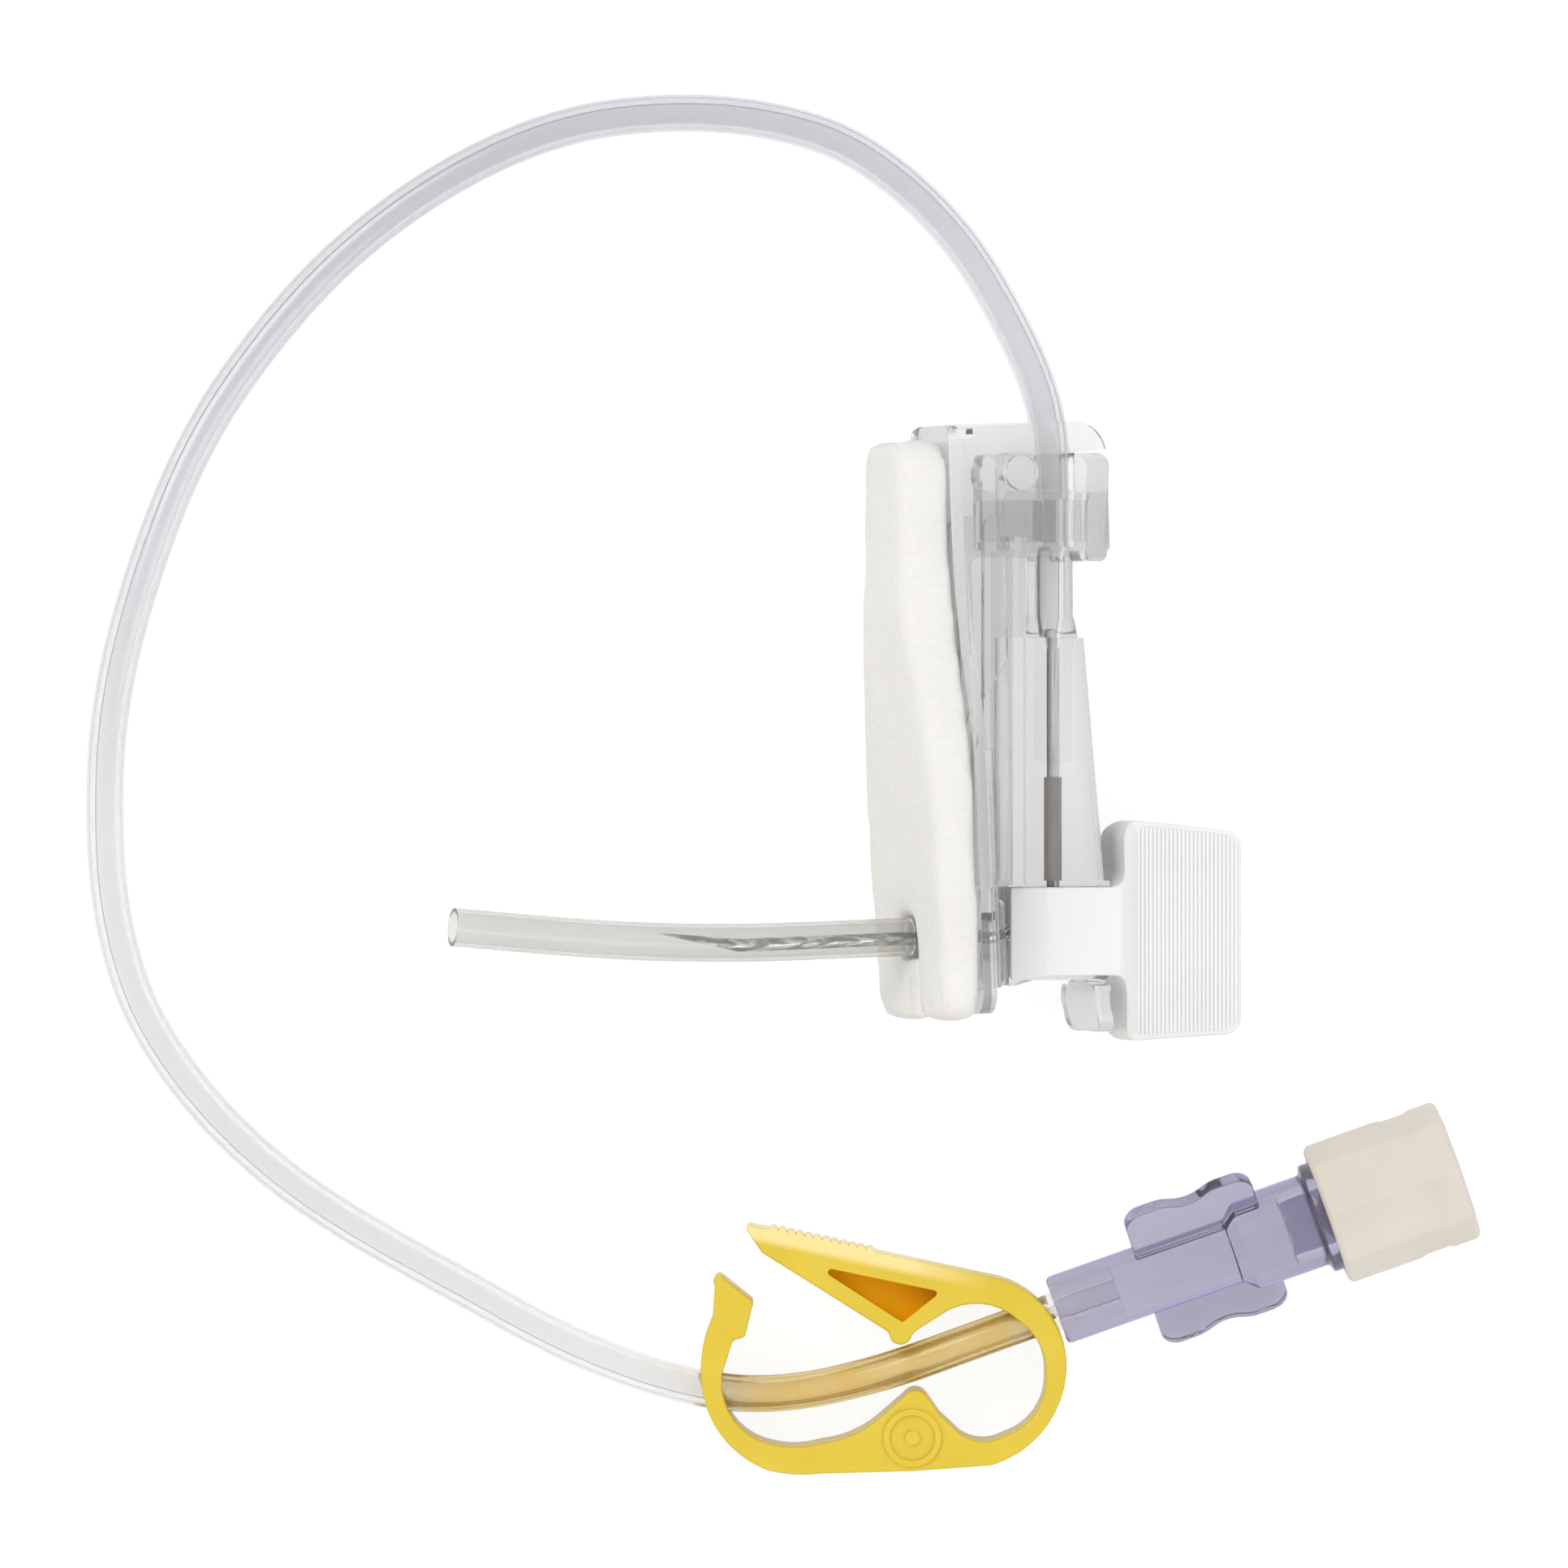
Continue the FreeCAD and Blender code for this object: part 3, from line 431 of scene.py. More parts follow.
def steel_finish():
    shader = Shader("steel")
    in_hub = shader.ramp(shader.along(pin, outwards) - HUB_FROM, FADE_IN)
    shaft = shader.noise(shader.stretched((60.0, 2600.0, 2600.0)), 1.0, 2.0, 0.6)
    hub_side = shader.noise(shader.stretched((2600.0, 60.0, 2600.0)), 1.0, 2.0, 0.6)
    streaks = shaft + in_hub * (hub_side - shaft)
    # painted reflection: the streaks turned into dark and bright colour
    painted_reflection = shader.ramp(streaks, [(0.42, 0.0), (0.56, 1.0)])
    tone = shader.mixed(painted_reflection, (0.07, 0.075, 0.09, 1.0), (0.74, 0.74, 0.76, 1.0))
    return shader.finish(Base_Color=tone, Metallic=1.0 - in_hub * 0.5, Roughness=0.14 + streaks * 0.16,
                         Normal=shader.bump(streaks, 0.25, 0.00003))


def adhesive_finish():
    shader = Shader("adhesive")
    streaks = shader.noise(shader.stretched((4000.0, 300.0, 4000.0)), 1.0, 3.0)
    tone = shader.mixed(streaks, colour(120, 108, 100), colour(176, 166, 158))
    return shader.finish(Base_Color=tone, Roughness=0.35, Normal=shader.bump(streaks, 0.2, 0.00005))


steel = steel_finish()
adhesive = adhesive_finish()

# %% [markdown]
# ## Rounded edges
#
# No moulding has a knife edge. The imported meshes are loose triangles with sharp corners, so a copy is
# merged, its flat triangles are joined into whole faces, and a small bevel is put on the real corners. A
# bevel needs room on both sides of an edge, so where features are finer than its width, as on the clamp's
# bumps, the edges stay crisp. Without a width the copy only gets smooth curves and sharp corners. The copy
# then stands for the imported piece.


# %% Helpers for meshes
FLAT = math.radians(0.4)


def linked(name, mesh):
    piece = bpy.data.objects.new(name, mesh)
    scene.collection.objects.link(piece)
    return piece


def merged_copy(node, name):
    """A closed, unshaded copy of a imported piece."""
    source = frame["nodes"][node].data
    mesh = bpy.data.meshes.new(name)
    mesh.from_pydata([vertex.co for vertex in source.vertices], [],
                     [list(face.vertices) for face in source.polygons])
    shape = bmesh.new()
    shape.from_mesh(mesh)
    bmesh.ops.remove_doubles(shape, verts=shape.verts, dist=0.000001)
    bmesh.ops.dissolve_degenerate(shape, dist=0.0000005, edges=shape.edges)
    bmesh.ops.recalc_face_normals(shape, faces=shape.faces)
    shape.to_mesh(mesh)
    shape.free()
    return linked(name, mesh)


def open_edges(mesh):
    """How many edges lack one of their two faces."""
    shape = bmesh.new()
    shape.from_mesh(mesh)
    count = sum(1 for edge in shape.edges if len(edge.link_faces) != 2)
    shape.free()
    return count


def refined(node, name, body, material, width=0.0, is_crisp=None, corner=28.0):
    """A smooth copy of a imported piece. Corners sharper than corner degrees are rounded by width mm, where
    is_crisp doesn't say otherwise."""
    piece = merged_copy(node, name)
    mesh = piece.data
    mesh.materials.append(material)
    if width:
        shape = bmesh.new()
        shape.from_mesh(mesh)
        bmesh.ops.dissolve_limit(shape, angle_limit=FLAT, verts=shape.verts, edges=shape.edges)
        for face in shape.faces:
            face.smooth = True
        weights = shape.edges.layers.float.new("bevel_weight_edge")
        for edge in shape.edges:
            middle = (edge.verts[0].co + edge.verts[1].co) / 2
            is_corner = len(edge.link_faces) == 2 and edge.calc_face_angle() > math.radians(corner)
            stays = is_corner and bool(is_crisp) and is_crisp(middle)
            edge[weights] = 1.0 if is_corner and not stays else 0.0
            edge.smooth = not stays
        shape.to_mesh(mesh)
        shape.free()
        bevel = piece.modifiers.new("rounded edges", "BEVEL")
        bevel.limit_method = "WEIGHT"
        bevel.width = width * MM
        bevel.segments = 2
        bevel.use_clamp_overlap = False
        bevel.loop_slide = False
        even = piece.modifiers.new("even light on flats", "WEIGHTED_NORMAL")
        even.weight = 100
        even.keep_sharp = True
    else:
        mesh.shade_smooth()
        mesh.set_sharp_from_angle(angle=math.radians(corner))
    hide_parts(node)
    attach(piece, body)
    print(name, "faces", len(mesh.polygons), "open edges", open_edges(mesh))
    return piece


def glued_inside(piece, start, way, reach):
    """Gives the glued skin to the walls within reach of a line."""
    piece.data.materials.append(glued_plastic)
    last = len(piece.data.materials) - 1
    count = 0
    for face in piece.data.polygons:
        away = face.center - start
        if (away - way * away.dot(way)).length < reach:
            face.material_index = last
            count += 1
    print(piece.name, "glued faces", count)


def dressed(node, material):
    """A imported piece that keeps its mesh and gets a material."""
    mesh = frame["nodes"][node].data
    mesh.materials.clear()
    mesh.materials.append(material)
    print(node, "faces", len(mesh.polygons))


# %% [markdown]
# ## The clear body
#
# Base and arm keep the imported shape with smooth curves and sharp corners. A mould for thin walls is cut
# nearly sharp, and in clear plastic a corner shows as a line by the way it bends light.

# %% Base and arm
BORE_REACH = 1.42 * MM
HUB_AXIS = Vector((14.053, 0.0, 5.537)) * MM
refined("base_plate", "base_shell", "base", body_plastic)
arm = refined("safety_arm", "arm_shell", "arm", body_plastic)
glued_inside(arm, HUB_AXIS, Vector((0.0, 1.0, 0.0)), BORE_REACH)
dressed("cannula", steel)
dressed("needle_bond", adhesive)
dressed("needle_sheath", sheath_plastic)

# %% [markdown]
# ## Grip
#
# The grip is one white moulding. Its paddle is covered with fine ridges on both faces, far finer than a
# finger and all alike, which is work for Geometry Nodes: a row of points, one small ridge on each, made
# shorter near the rounded corners.

# %% Grip body
refined("grip_handle", "grip_body", "grip", grip_plastic, 0.12)


# %% A tree that lays ridges on the paddle
def ridge_tree():
    """Ridges side by side on both faces of a tapering paddle, in mm: x across them and y along them."""
    tree = bpy.data.node_groups.new("paddle_ridges", "GeometryNodeTree")
    sizes = [("Count", "Int"), ("Pitch", "Float"), ("First", "Float"), ("Back", "Float"),
             ("Back Slope", "Float"), ("Front", "Float"), ("Front Slope", "Float"), ("Last", "Float"),
             ("Corner", "Float"), ("Margin", "Float"), ("Width", "Float"), ("Face", "Float"),
             ("Finish", "Material")]
    tree.interface.new_socket("Geometry", in_out="INPUT", socket_type="NodeSocketGeometry")
    for name, kind in sizes:
        tree.interface.new_socket(name, in_out="INPUT", socket_type="NodeSocket" + kind)
    tree.interface.new_socket("Geometry", in_out="OUTPUT", socket_type="NodeSocketGeometry")
    nodes = Nodes(tree)
    size = nodes.add("NodeGroupInput")
    row = nodes.add("GeometryNodeMeshLine", {}, {"Count": size["Count"], "Offset": (0.0, 0.0, 0.0)})
    place = size["First"] + nodes.add("GeometryNodeInputIndex") * size["Pitch"]
    from_edge = nodes.smaller(place - size["First"], size["Last"] - place) + size["Pitch"]
    bite = nodes.greater(1.0 - from_edge / size["Corner"], 0.0)
    cut = size["Corner"] * (1.0 - (1.0 - bite * bite) ** 0.5) + size["Margin"]
    back = size["Back"] + size["Back Slope"] * place + cut
    front = size["Front"] - size["Front Slope"] * place - cut
    spot = nodes.add("ShaderNodeCombineXYZ", {}, {"X": place, "Y": (back + front) * 0.5})
    spread = nodes.add("GeometryNodeSetPosition", {}, {"Geometry": row, "Position": spot})
    line = nodes.add("GeometryNodeCurvePrimitiveLine", {}, {"Start": (0.0, -0.5, 0.0),
                                                            "End": (0.0, 0.5, 0.0)})
    ring = nodes.add("GeometryNodeCurvePrimitiveCircle", {}, {"Resolution": 6,
                                                              "Radius": size["Width"] * 0.5})
    bar = nodes.add("GeometryNodeCurveToMesh", {}, {"Curve": line, "Profile Curve": ring, "Fill Caps": True})
    stretch = nodes.add("ShaderNodeCombineXYZ", {}, {"X": 1.0, "Y": front - back, "Z": 0.15})
    ridges = nodes.add("GeometryNodeInstanceOnPoints", {}, {"Points": spread, "Instance": bar,
                                                            "Scale": stretch})
    faces = []
    for sign in (1.0, -1.0):
        lift = nodes.add("ShaderNodeCombineXYZ", {}, {"Z": size["Face"] * sign})
        faces.append(nodes.add("GeometryNodeTransform", {}, {"Geometry": ridges, "Translation": lift}))
    both = nodes.add("GeometryNodeJoinGeometry")
    for face in faces:
        tree.links.new(face.socket, both.socket.node.inputs[0])
    real = nodes.add("GeometryNodeRealizeInstances", {}, {"Geometry": both})
    painted = nodes.add("GeometryNodeSetMaterial", {}, {"Geometry": real, "Material": size["Finish"]})
    nodes.add("NodeGroupOutput", {}, {"Geometry": painted})
    return tree


def grown(name, tree, values):
    """The plain mesh that a tree makes from these values."""
    piece = linked(name, bpy.data.meshes.new(name))
    work = piece.modifiers.new("growth", "NODES")
    work.node_group = tree
    for item in tree.interface.items_tree:
        if item.in_out == "INPUT" and item.name in values:
            work[item.identifier] = values[item.name]
    bpy.context.view_layer.update()
    mesh = bpy.data.meshes.new_from_object(piece.evaluated_get(bpy.context.evaluated_depsgraph_get()))
    piece.modifiers.remove(work)
    piece.data = mesh
    return piece


# %% Ridges on the paddle
ridges = grown("grip_ridges", ridge_tree(), {
    "Count": 26, "Pitch": 0.30, "First": 9.15, "Last": 16.65, "Back": 23.15, "Back Slope": 0.10,
    "Front": 40.0, "Front Slope": 0.057, "Corner": 1.3, "Margin": 0.35, "Width": 0.26, "Face": 1.50,
    "Finish": ridge_plastic,
})
in_body = Matrix((
    (outwards.x, to_needle.x, across.x, pin.x / MM),
    (outwards.y, to_needle.y, across.y, pin.y / MM),
    (outwards.z, to_needle.z, across.z, pin.z / MM),
    (0.0, 0.0, 0.0, 1.0),
))
ridges.data.transform(Matrix.Scale(MM, 4) @ in_body)
ridge_shape = bmesh.new()
ridge_shape.from_mesh(ridges.data)
bmesh.ops.recalc_face_normals(ridge_shape, faces=ridge_shape.faces)
ridge_shape.to_mesh(ridges.data)
ridge_shape.free()
ridges.data.shade_smooth()
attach(ridges, "grip")
print("ridges", len(ridges.data.polygons), "faces, open edges", open_edges(ridges.data))

# %% [markdown]
# ## Clamp, connector and cap
#
# The clamp is moulded in one piece. Its outline has generous round edges, while the small bumps on the
# lever and the ring mark stay crisp. The walls of the lever's pocket get a deeper yellow, painted shade.


# %% Clamp, connector and cap
POCKET = [(-4.97, 5.93), (3.95, 4.07), (1.24, 1.92)]
BUMPS_START = -8.6
BUMPS_END = -0.2
LEVER_CORNER = (-0.45, 6.85)
LEVER_SLOPE = 0.216
BUMP_DEPTH = 0.35
RING_MARK = (1.92, -6.10)
RING_MARK_REACH = 2.3
CLAMP_TOP_FACE = 6.9


def in_pocket(place):
    """Whether a point lies within the lever's triangular pocket, seen from above."""
    x, y = (place.x - CLAMP_MIDDLE.x) / MM, (place.y - CLAMP_MIDDLE.y) / MM
    turns = []
    for (ax, ay), (bx, by) in zip(POCKET, POCKET[1:] + POCKET[:1]):
        turns.append((bx - ax) * (y - ay) - (by - ay) * (x - ax) < 0.05)
    return all(turns)


def is_fine_on_clamp(place):
    """Whether a place is on the lever's bumps, on the ring mark or in the pocket."""
    x = (place.x - CLAMP_MIDDLE.x) / MM
    y = (place.y - CLAMP_MIDDLE.y) / MM
    lever_side = LEVER_CORNER[1] - LEVER_SLOPE * (x - LEVER_CORNER[0])
    on_bumps = BUMPS_START < x < BUMPS_END and y > lever_side - BUMP_DEPTH
    on_mark = math.hypot(x - RING_MARK[0], y - RING_MARK[1]) < RING_MARK_REACH
    return on_bumps or on_mark or in_pocket(place)


clamp = refined("pinch_clamp", "clamp_body", "arm", clamp_plastic, 0.20, is_fine_on_clamp)
# painted shade: the pocket's walls get the deeper yellow
clamp.data.materials.append(pocket_painted_shade)
for face in clamp.data.polygons:
    is_top = face.normal.z > 0.9 and face.center.z > CLAMP_TOP_FACE * MM
    if in_pocket(face.center) and not is_top:
        face.material_index = 1

CONNECTOR_START = Vector((14.539, -40.368, 5.07))
CONNECTOR_WAY = Vector(joints["cap_unscrew"]["axis"]).normalized()
connector = refined("luer_connector", "connector_body", "arm", violet_plastic, 0.14)
glued_inside(connector, CONNECTOR_START * MM, CONNECTOR_WAY, BORE_REACH)
cap = refined("luer_cap", "cap_body", "cap", cap_plastic, 0.16)

# %% [markdown]
# ## Tube
#
# The tube is 223 mm of soft clear plastic that comes out of the hinge end, swings round in a wide loop and
# runs through the clamp into the connector. Its line is a smooth spline through the route's points. The
# wall is made by hand round that line, outside and inside, because light bends twice in a real tube: once
# at each skin. That draws the pale streaks and the thin dark lines along it.

# %% The tube's line
LEAD_IN = 3.7
SLEEVE_DEPTH = 4.5
LINE_STEPS = 12
route = [
    (14.053, -2.068, 5.537),
    (14.053, 15.960, 5.537),
    (14.053, 22.002, 5.537),
]
from_pin = [
    (1.05, 9.70, 5.45),
    (-3.35, 17.15, 4.90),
    (-9.90, 22.85, 4.05),
    (-16.16, 24.90, 3.15),
    (-22.92, 25.48, 2.40),
    (-30.60, 24.62, 1.75),
    (-38.57, 21.20, 1.42),
    (-45.98, 15.82, 1.36),
    (-51.72, 9.53, 1.34),
    (-56.75, 2.03, 1.34),
    (-60.46, -7.60, 1.34),
    (-62.64, -16.72, 1.34),
    (-62.86, -25.76, 1.34),
    (-62.12, -32.06, 1.34),
    (-60.24, -37.87, 1.34),
    (-56.34, -43.57, 1.34),
    (-51.24, -48.58, 1.34),
    (-45.55, -52.48, 1.36),
    (-38.19, -56.51, 1.45),
    (-30.28, -60.90, 2.10),
    (-22.09, -63.78, 3.05),
    (-15.59, -64.35, 3.50),
    (-8.25, -62.71, 3.95),
]
route_points = [Vector(point) * MM for point in route]
route_points += [Vector((pin.x + x * MM, pin.y + y * MM, z * MM)) for x, y, z in from_pin]
route_points.append((CONNECTOR_START - CONNECTOR_WAY * LEAD_IN) * MM)
route_points.append((CONNECTOR_START + CONNECTOR_WAY * SLEEVE_DEPTH) * MM)


def line_along(points, steps):
    """Points read from a smooth spline through the neighbourhood of the given points."""
    data = bpy.data.curves.new("tube_route", "CURVE")
    data.dimensions = "3D"
    spline = data.splines.new("NURBS")
    spline.points.add(len(points) - 1)
    for control, point in zip(spline.points, points):
        control.co = (*point, 1.0)
    spline.order_u = 3
    spline.use_endpoint_u = True
    spline.resolution_u = steps
    holder = linked("tube_route", data)
    bpy.context.view_layer.update()
    found = bpy.data.meshes.new_from_object(holder.evaluated_get(bpy.context.evaluated_depsgraph_get()))
    line = [vertex.co.copy() for vertex in found.vertices]
    bpy.data.objects.remove(holder)
    bpy.data.curves.remove(data)
    bpy.data.meshes.remove(found)
    return line


tube_line = line_along(route_points, LINE_STEPS)
tube_length = sum((b - a).length for a, b in zip(tube_line, tube_line[1:]))
print("tube line", len(tube_line), "points,", round(tube_length / MM, 1), "mm")


# %% [markdown]
# Glue fills the thin gap round the tube's ends, and light passes from one plastic to the other without a
# sign. So the tube is a hair thicker there than its bore and has the glued skin: with an air gap, the bore
# would shine like a mirror. At the hub's end the tube sits tight on the needle.

# %% The tube's wall
GLUE = 0.05 * MM
HUB_MOUTH = 15.9 * MM
SLEEVE_REACH = 5.0 * MM
CANNULA_START = 6.93 * MM
CANNULA_RADIUS = 0.45 * MM
TUBE_RADIUS = 1.30 * MM
BORE_RADIUS = 0.75 * MM
SIDES = 32


def is_in_hub(point):
    """Whether a point of the tube's line is in its straight first stretch."""
    return abs(point.x - route_points[0].x) < 0.5 * MM


def is_bonded(point):
    """Whether the tube is glued here, in the hub's bore or in the connector's sleeve."""
    in_hub = is_in_hub(point) and point.y < HUB_MOUTH
    from_sleeve = point - CONNECTOR_START * MM
    return in_hub or (from_sleeve.dot(CONNECTOR_WAY) > 0 and from_sleeve.length < SLEEVE_REACH)


def walled_tube(name, line, outer, inner, sides):
    """A closed mesh of a tube's outer and inner skin, joined by a ring at each end. The tube's first
    side, whose bore gets the painted dark line, looks away from the middle of the loop."""
    heading = (line[1] - line[0]).normalized()
    side = heading.cross(Vector((0.0, 0.0, 1.0))).normalized()
    vertices = []
    for index, point in enumerate(line):
        before = line[max(index - 1, 0)]
        after = line[min(index + 1, len(line) - 1)]
        heading = (after - before).normalized()
        side = (side - heading * side.dot(heading)).normalized()
        other = heading.cross(side)
        holds_cannula = is_in_hub(point) and point.y < CANNULA_START
        outside = outer + GLUE if is_bonded(point) else outer
        for radius in (outside, CANNULA_RADIUS if holds_cannula else inner):
            for count in range(sides):
                angle = 2 * math.pi * count / sides
                vertices.append(point + (side * math.cos(angle) + other * math.sin(angle)) * radius)
    faces = []
    row = 2 * sides
    for index in range(len(line) - 1):
        for count in range(sides):
            following = (count + 1) % sides
            here = index * row
            there = here + row
            faces.append((here + count, here + following, there + following, there + count))
            faces.append((here + sides + following, here + sides + count,
                          there + sides + count, there + sides + following))
    last = (len(line) - 1) * row
    for count in range(sides):
        following = (count + 1) % sides
        faces.append((following, count, sides + count, sides + following))
        faces.append((last + count, last + following, last + sides + following, last + sides + count))
    mesh = bpy.data.meshes.new(name)
    mesh.from_pydata(vertices, [], faces)
    mesh.materials.append(soft_tube_plastic)
    mesh.materials.append(painted_line_plastic)
    mesh.materials.append(glued_plastic)
    for index, point in enumerate(line[:-1]):
        if is_bonded(point):
            for face in range(index * row, index * row + row, 2):
                mesh.polygons[face].material_index = 2
        # painted shade: one strip of the bore gets the dark line
        mesh.polygons[index * row + 1].material_index = 1
    mesh.shade_smooth()
    mesh.set_sharp_from_angle(angle=math.radians(40))
    return linked(name, mesh)


tube = walled_tube("extension_tube", tube_line, TUBE_RADIUS, BORE_RADIUS, SIDES)
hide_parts("tubing")
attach(tube, "arm")
body_point(3.40, -4.07)
print("tube faces", len(tube.data.polygons), "open edges", open_edges(tube.data))

# %% [markdown]
# ## Foam pad
#
# The pad is die-cut from a sheet of soft foam, so its sides bulge a little between its two faces and its
# edges are round. A voxel remesh of the imported solid gives an even skin, which is smoothed and then pushed
# about by a slow noise. The slot for the needle is a slit in the real pad, so two soft lips close the
# slot's open end.

# %% Foam pad
PLATE_FACE = -5.30
PAD_THICKNESS = 3.60
PAD_WEDGE = 1.45
PAD_START = -2.35
PAD_END = 37.60
SLOT_CLOSED_END = 30.33
SLOT_WALL = 2.2
FILLER_HALF_WIDTH = 1.8
FACE_GAP = 0.03


def pad_depth(u):
    """How thick the pad is at u."""
    return PAD_THICKNESS - PAD_WEDGE * (u - PAD_START) / (PAD_END - PAD_START)


def remeshed(piece, voxel):
    """Replaces a piece's mesh by an even skin round it."""
    changed = piece.modifiers.new("even skin", "REMESH")
    changed.mode = "VOXEL"
    changed.voxel_size = voxel
    bpy.context.view_layer.update()
    mesh = bpy.data.meshes.new_from_object(piece.evaluated_get(bpy.context.evaluated_depsgraph_get()))
    piece.modifiers.remove(changed)
    old = piece.data
    piece.data = mesh
    bpy.data.meshes.remove(old)
    return piece


CROWN = [(-2.4, 0.20), (1.0, 0.30), (4.0, 0.50), (9.0, 0.88), (13.0, 0.82), (18.0, 0.62), (25.0, 0.50),
         (37.6, 0.52)]


def crown(u):
    """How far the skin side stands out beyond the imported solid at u, in mm."""
    for (before, low), (after, high) in zip(CROWN, CROWN[1:]):
        if u <= after:
            share = min(max((u - before) / (after - before), 0.0), 1.0)
            return low + (high - low) * share
    return CROWN[-1][1]


def soften(mesh, rounds, bulge, unevenness):
    """Smooths a foam mesh, swells its sides and makes it a little uneven."""
    shape = bmesh.new()
    shape.from_mesh(mesh)
    for _ in range(rounds):
        bmesh.ops.smooth_vert(shape, verts=shape.verts, factor=0.5, use_axis_x=True, use_axis_y=True,
                              use_axis_z=True)
    shape.normal_update()
    for vertex in shape.verts:
        n, u, w = base_numbers(vertex.co)
        share = min(max((PLATE_FACE - n) / pad_depth(u), 0.0), 1.0)
        is_side = abs(vertex.normal.dot(outwards)) < 0.6 and abs(w) > SLOT_WALL
        swell = bulge * math.sin(math.pi * share) if is_side else 0.0
        slow = noise.noise(vertex.co * 320) * unevenness
        vertex.co += vertex.normal * (swell + slow) * MM
        n, u, w = base_numbers(vertex.co)
        vertex.co = base_point(n - crown(u) * share, u, w)
        n, u, w = base_numbers(vertex.co)
        if n > PLATE_FACE - 0.01:
            vertex.co = base_point(PLATE_FACE - 0.01, u, w)
    bmesh.ops.recalc_face_normals(shape, faces=shape.faces)
    shape.to_mesh(mesh)
    shape.free()
    mesh.shade_smooth()


def foam_piece(piece):
    """Gives a piece its foam and lets it ride on the base."""
    piece.data.materials.clear()
    piece.data.materials.append(foam_cloth)
    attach(piece, "base")


def add_block(mesh, low, high):
    """Adds a closed block to a mesh, between two corners in the base's own n, u and w."""
    shape = bmesh.new()
    shape.from_mesh(mesh)
    corners = [shape.verts.new(base_point(n, u, w)) for u in (low[1], high[1]) for w in (low[2], high[2])
               for n in (low[0], high[0])]
    faces = [shape.faces.new([corners[index] for index in quad]) for quad in
             ((0, 1, 3, 2), (4, 6, 7, 5), (0, 4, 5, 1), (2, 3, 7, 6), (0, 2, 6, 4), (1, 5, 7, 3))]
    bmesh.ops.recalc_face_normals(shape, faces=faces)
    shape.to_mesh(mesh)
    shape.free()


pad = merged_copy("foam_pad", "foam_body")
add_block(pad.data, (PLATE_FACE - pad_depth(SLOT_CLOSED_END), SLOT_CLOSED_END - 0.5, -FILLER_HALF_WIDTH),
          (PLATE_FACE - FACE_GAP, SLOT_CLOSED_END + 0.35, FILLER_HALF_WIDTH))
remeshed(pad, 0.30 * MM)
soften(pad.data, rounds=22, bulge=0.18, unevenness=0.08)
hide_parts("foam_pad")
foam_piece(pad)
print("pad faces", len(pad.data.polygons), "open edges", open_edges(pad.data))

# %% Lips that close the slot
SLOT_HALF_WIDTH = 1.70
LIP_START = 33.42
LIP_END = 37.45
SLIT = 0.03


def slot_lip(name, side):
    """One soft lip of foam between the slot's wall and the slit in the middle."""
    mesh = bpy.data.meshes.new(name)
    inner, outer = sorted((SLIT * side, (SLOT_HALF_WIDTH + 0.1) * side))
    add_block(mesh, (PLATE_FACE - pad_depth(LIP_START), LIP_START, inner),
              (PLATE_FACE - FACE_GAP, LIP_END, outer))
    lip = remeshed(linked(name, mesh), 0.20 * MM)
    soften(lip.data, rounds=2, bulge=0.0, unevenness=0.06)
    foam_piece(lip)
    base_point(PLATE_FACE, LIP_START, SLOT_HALF_WIDTH * side)
    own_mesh(lip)
    print(name, "faces", len(lip.data.polygons), "open edges", open_edges(lip.data))


slot_lip("slot_lip_near", 1)
slot_lip("slot_lip_far", -1)

# %% [markdown]
# ## Light, floor and camera
#
# The photograph was taken from straight above on a white table. The floor is pale paint plus a glow that
# only the camera, reflections and clear plastic can see, so it looks white and still shows a soft shadow.
# Seen through plastic it glows less, or every wall would look white. The world is bright above and dimmer
# at the horizon, as a room with a soft light overhead is, and that difference is what draws the edges of
# clear plastic.


# %% Floor
PAINT_FOR_LIGHT = (0.80, 0.80, 0.80, 1.0)
PAINT_SEEN = (0.17, 0.17, 0.17, 1.0)
PAINT_THROUGH_PLASTIC = (0.46, 0.46, 0.46, 1.0)
GLOW_SEEN = 0.90
GLOW_THROUGH_PLASTIC = 0.60


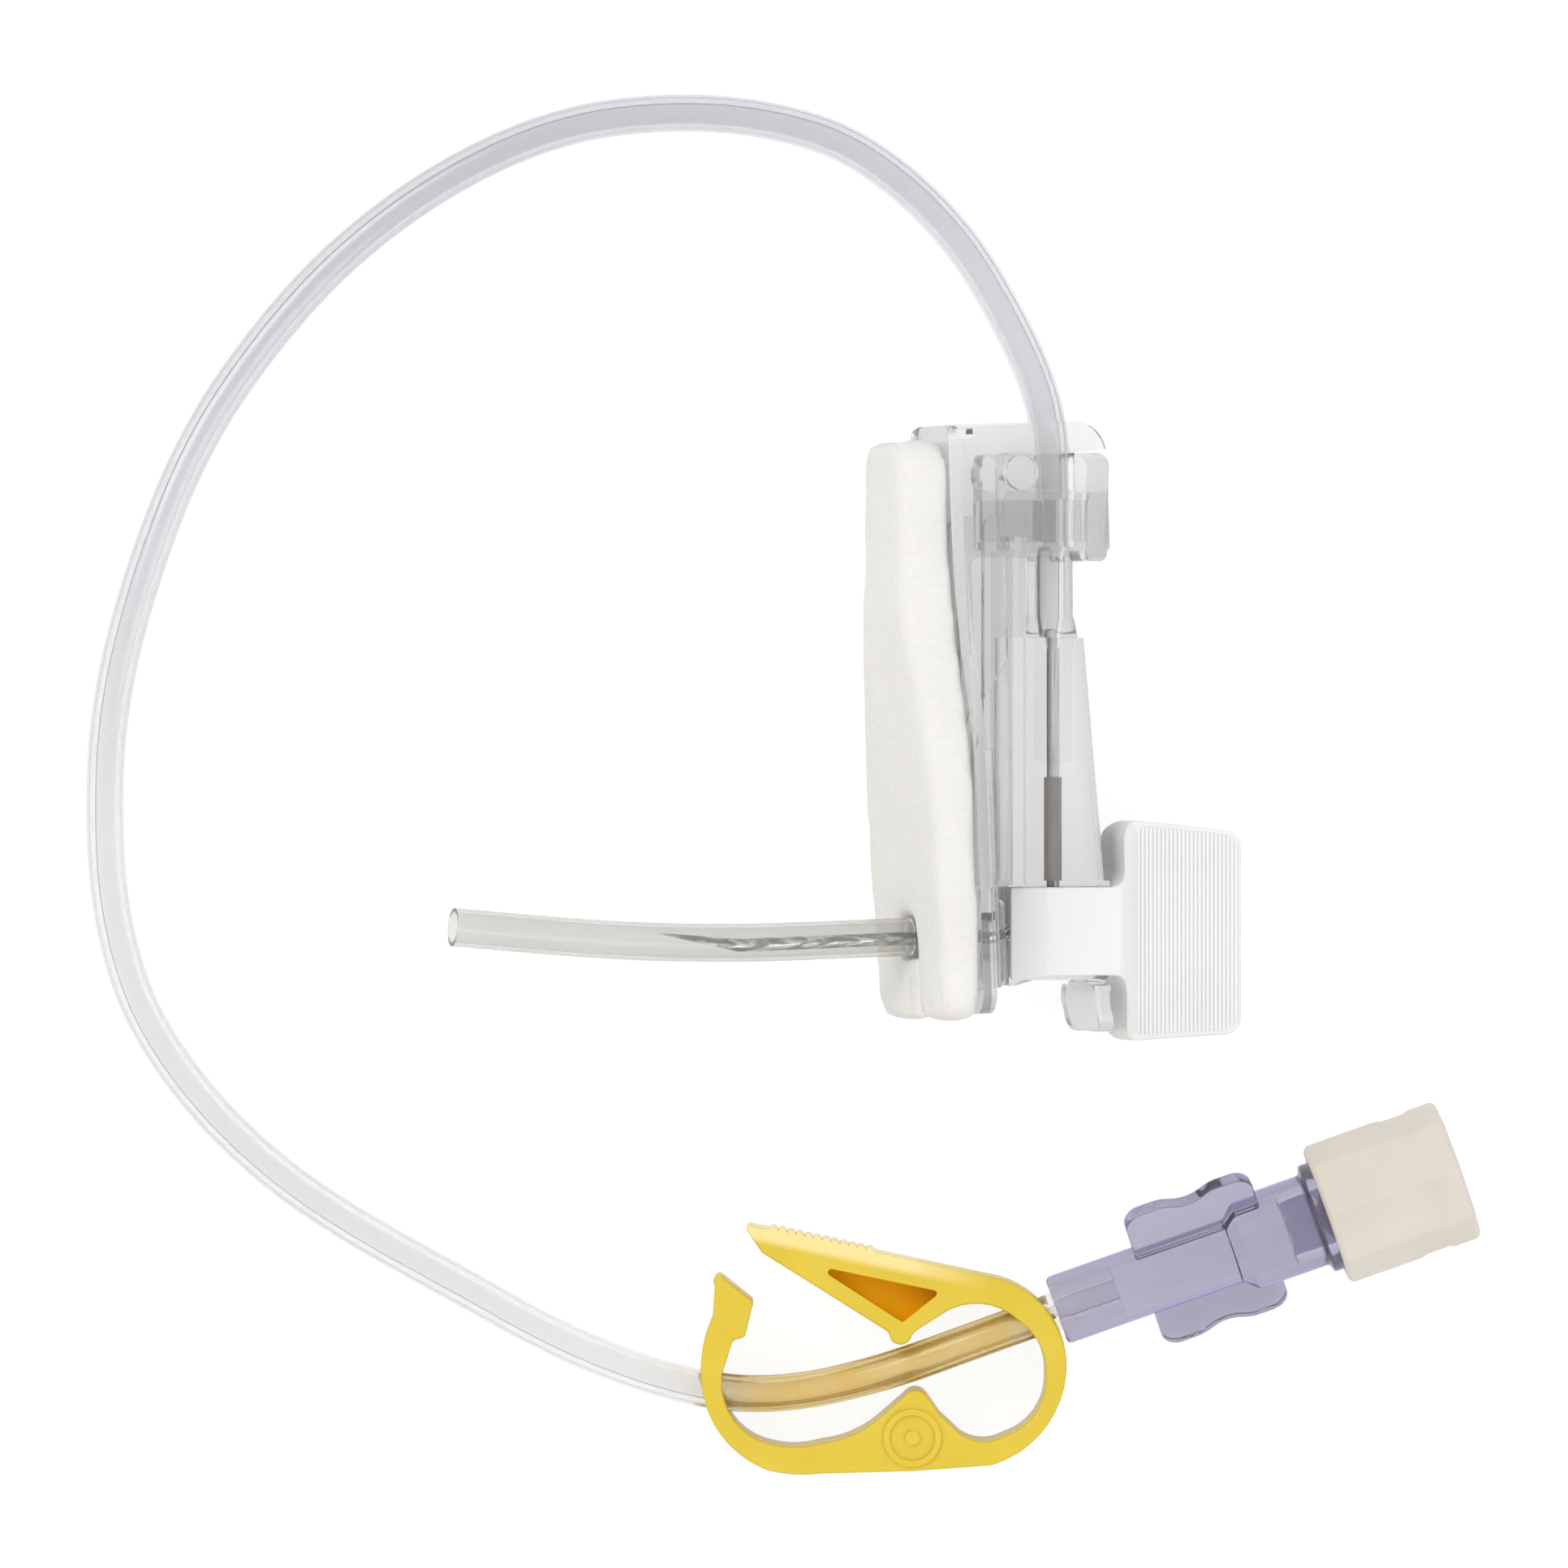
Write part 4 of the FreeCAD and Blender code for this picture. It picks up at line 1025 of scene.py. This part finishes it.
def floor_finish():
    shader = Shader("floor")
    rays = shader.add("ShaderNodeLightPath")
    through = rays["Is Transmission Ray"]
    seen = shader.greater(rays["Is Camera Ray"], rays["Is Glossy Ray"])
    grey = shader.mixed(seen, PAINT_FOR_LIGHT, PAINT_SEEN)
    grey = shader.mixed(through, grey, PAINT_THROUGH_PLASTIC)
    paint = shader.add("ShaderNodeBsdfDiffuse", {}, {"Color": grey})
    strength = shader.greater(seen - through, 0.0) * GLOW_SEEN + through * GLOW_THROUGH_PLASTIC
    glow = shader.add("ShaderNodeEmission", {}, {"Color": (1.0, 1.0, 1.0, 1.0), "Strength": strength})
    both = shader.add("ShaderNodeAddShader", {}, {0: paint, 1: glow})
    shader.add("ShaderNodeOutputMaterial", {}, {"Surface": both})
    return shader.material


bpy.ops.mesh.primitive_plane_add(size=1.6)
floor = bpy.context.object
floor.name = "floor"
floor.data.materials.append(floor_finish())


# %% World
def room_light(lighting, showing):
    """A room that is brighter overhead. Each pair is the strength at the horizon and straight up, one for
    the light that falls on things and one for what clear and shiny things show of the room."""
    world = bpy.data.worlds.new("room")
    world.use_nodes = True
    scene.world = world
    room = Nodes(world.node_tree)
    room.tree.nodes.clear()
    rays = room.add("ShaderNodeLightPath")
    direction = room.add("ShaderNodeTexCoord", output="Generated")
    height = room.greater(room.add("ShaderNodeSeparateXYZ", {}, {0: direction}, "Z"), 0.0)
    falling = lighting[0] + height * (lighting[1] - lighting[0])
    shown = showing[0] + height * (showing[1] - showing[0])
    seen = room.greater(rays["Is Glossy Ray"], rays["Is Transmission Ray"])
    strength = room.greater(falling + seen * (shown - falling), rays["Is Camera Ray"])
    background = room.add("ShaderNodeBackground", {}, {"Color": (1.0, 1.0, 1.0, 1.0), "Strength": strength})
    room.add("ShaderNodeOutputWorld", {}, {"Surface": background})


room_light(lighting=(0.86, 0.92), showing=(0.74, 1.0))


# %% Lamps
def softbox(name, place, size, power):
    """A square lamp that faces the middle of the set. Places and sizes are in metres, power in watts."""
    data = bpy.data.lights.new(name, "AREA")
    data.shape = "SQUARE"
    data.size = size
    data.energy = power
    lamp = linked(name, data)
    lamp.location = place
    lamp.rotation_euler = (-Vector(place)).to_track_quat("-Z", "Y").to_euler()


softbox("key_lamp", (-0.45, 0.35, 0.65), size=0.35, power=1.5)
softbox("fill_lamp", (0.50, -0.30, 0.60), size=0.40, power=0.9)

# %% Camera
PICTURE_MIDDLE = (-0.004445, -0.00365)
CAMERA_HEIGHT = 0.9
camera_data = bpy.data.cameras.new("camera")
camera_data.sensor_width = 36.0
camera_data.lens = 294.85
camera_data.clip_start = 0.01
camera = linked("camera", camera_data)
camera.location = (*PICTURE_MIDDLE, CAMERA_HEIGHT)
scene.camera = camera
scene.view_settings.view_transform = "Standard"
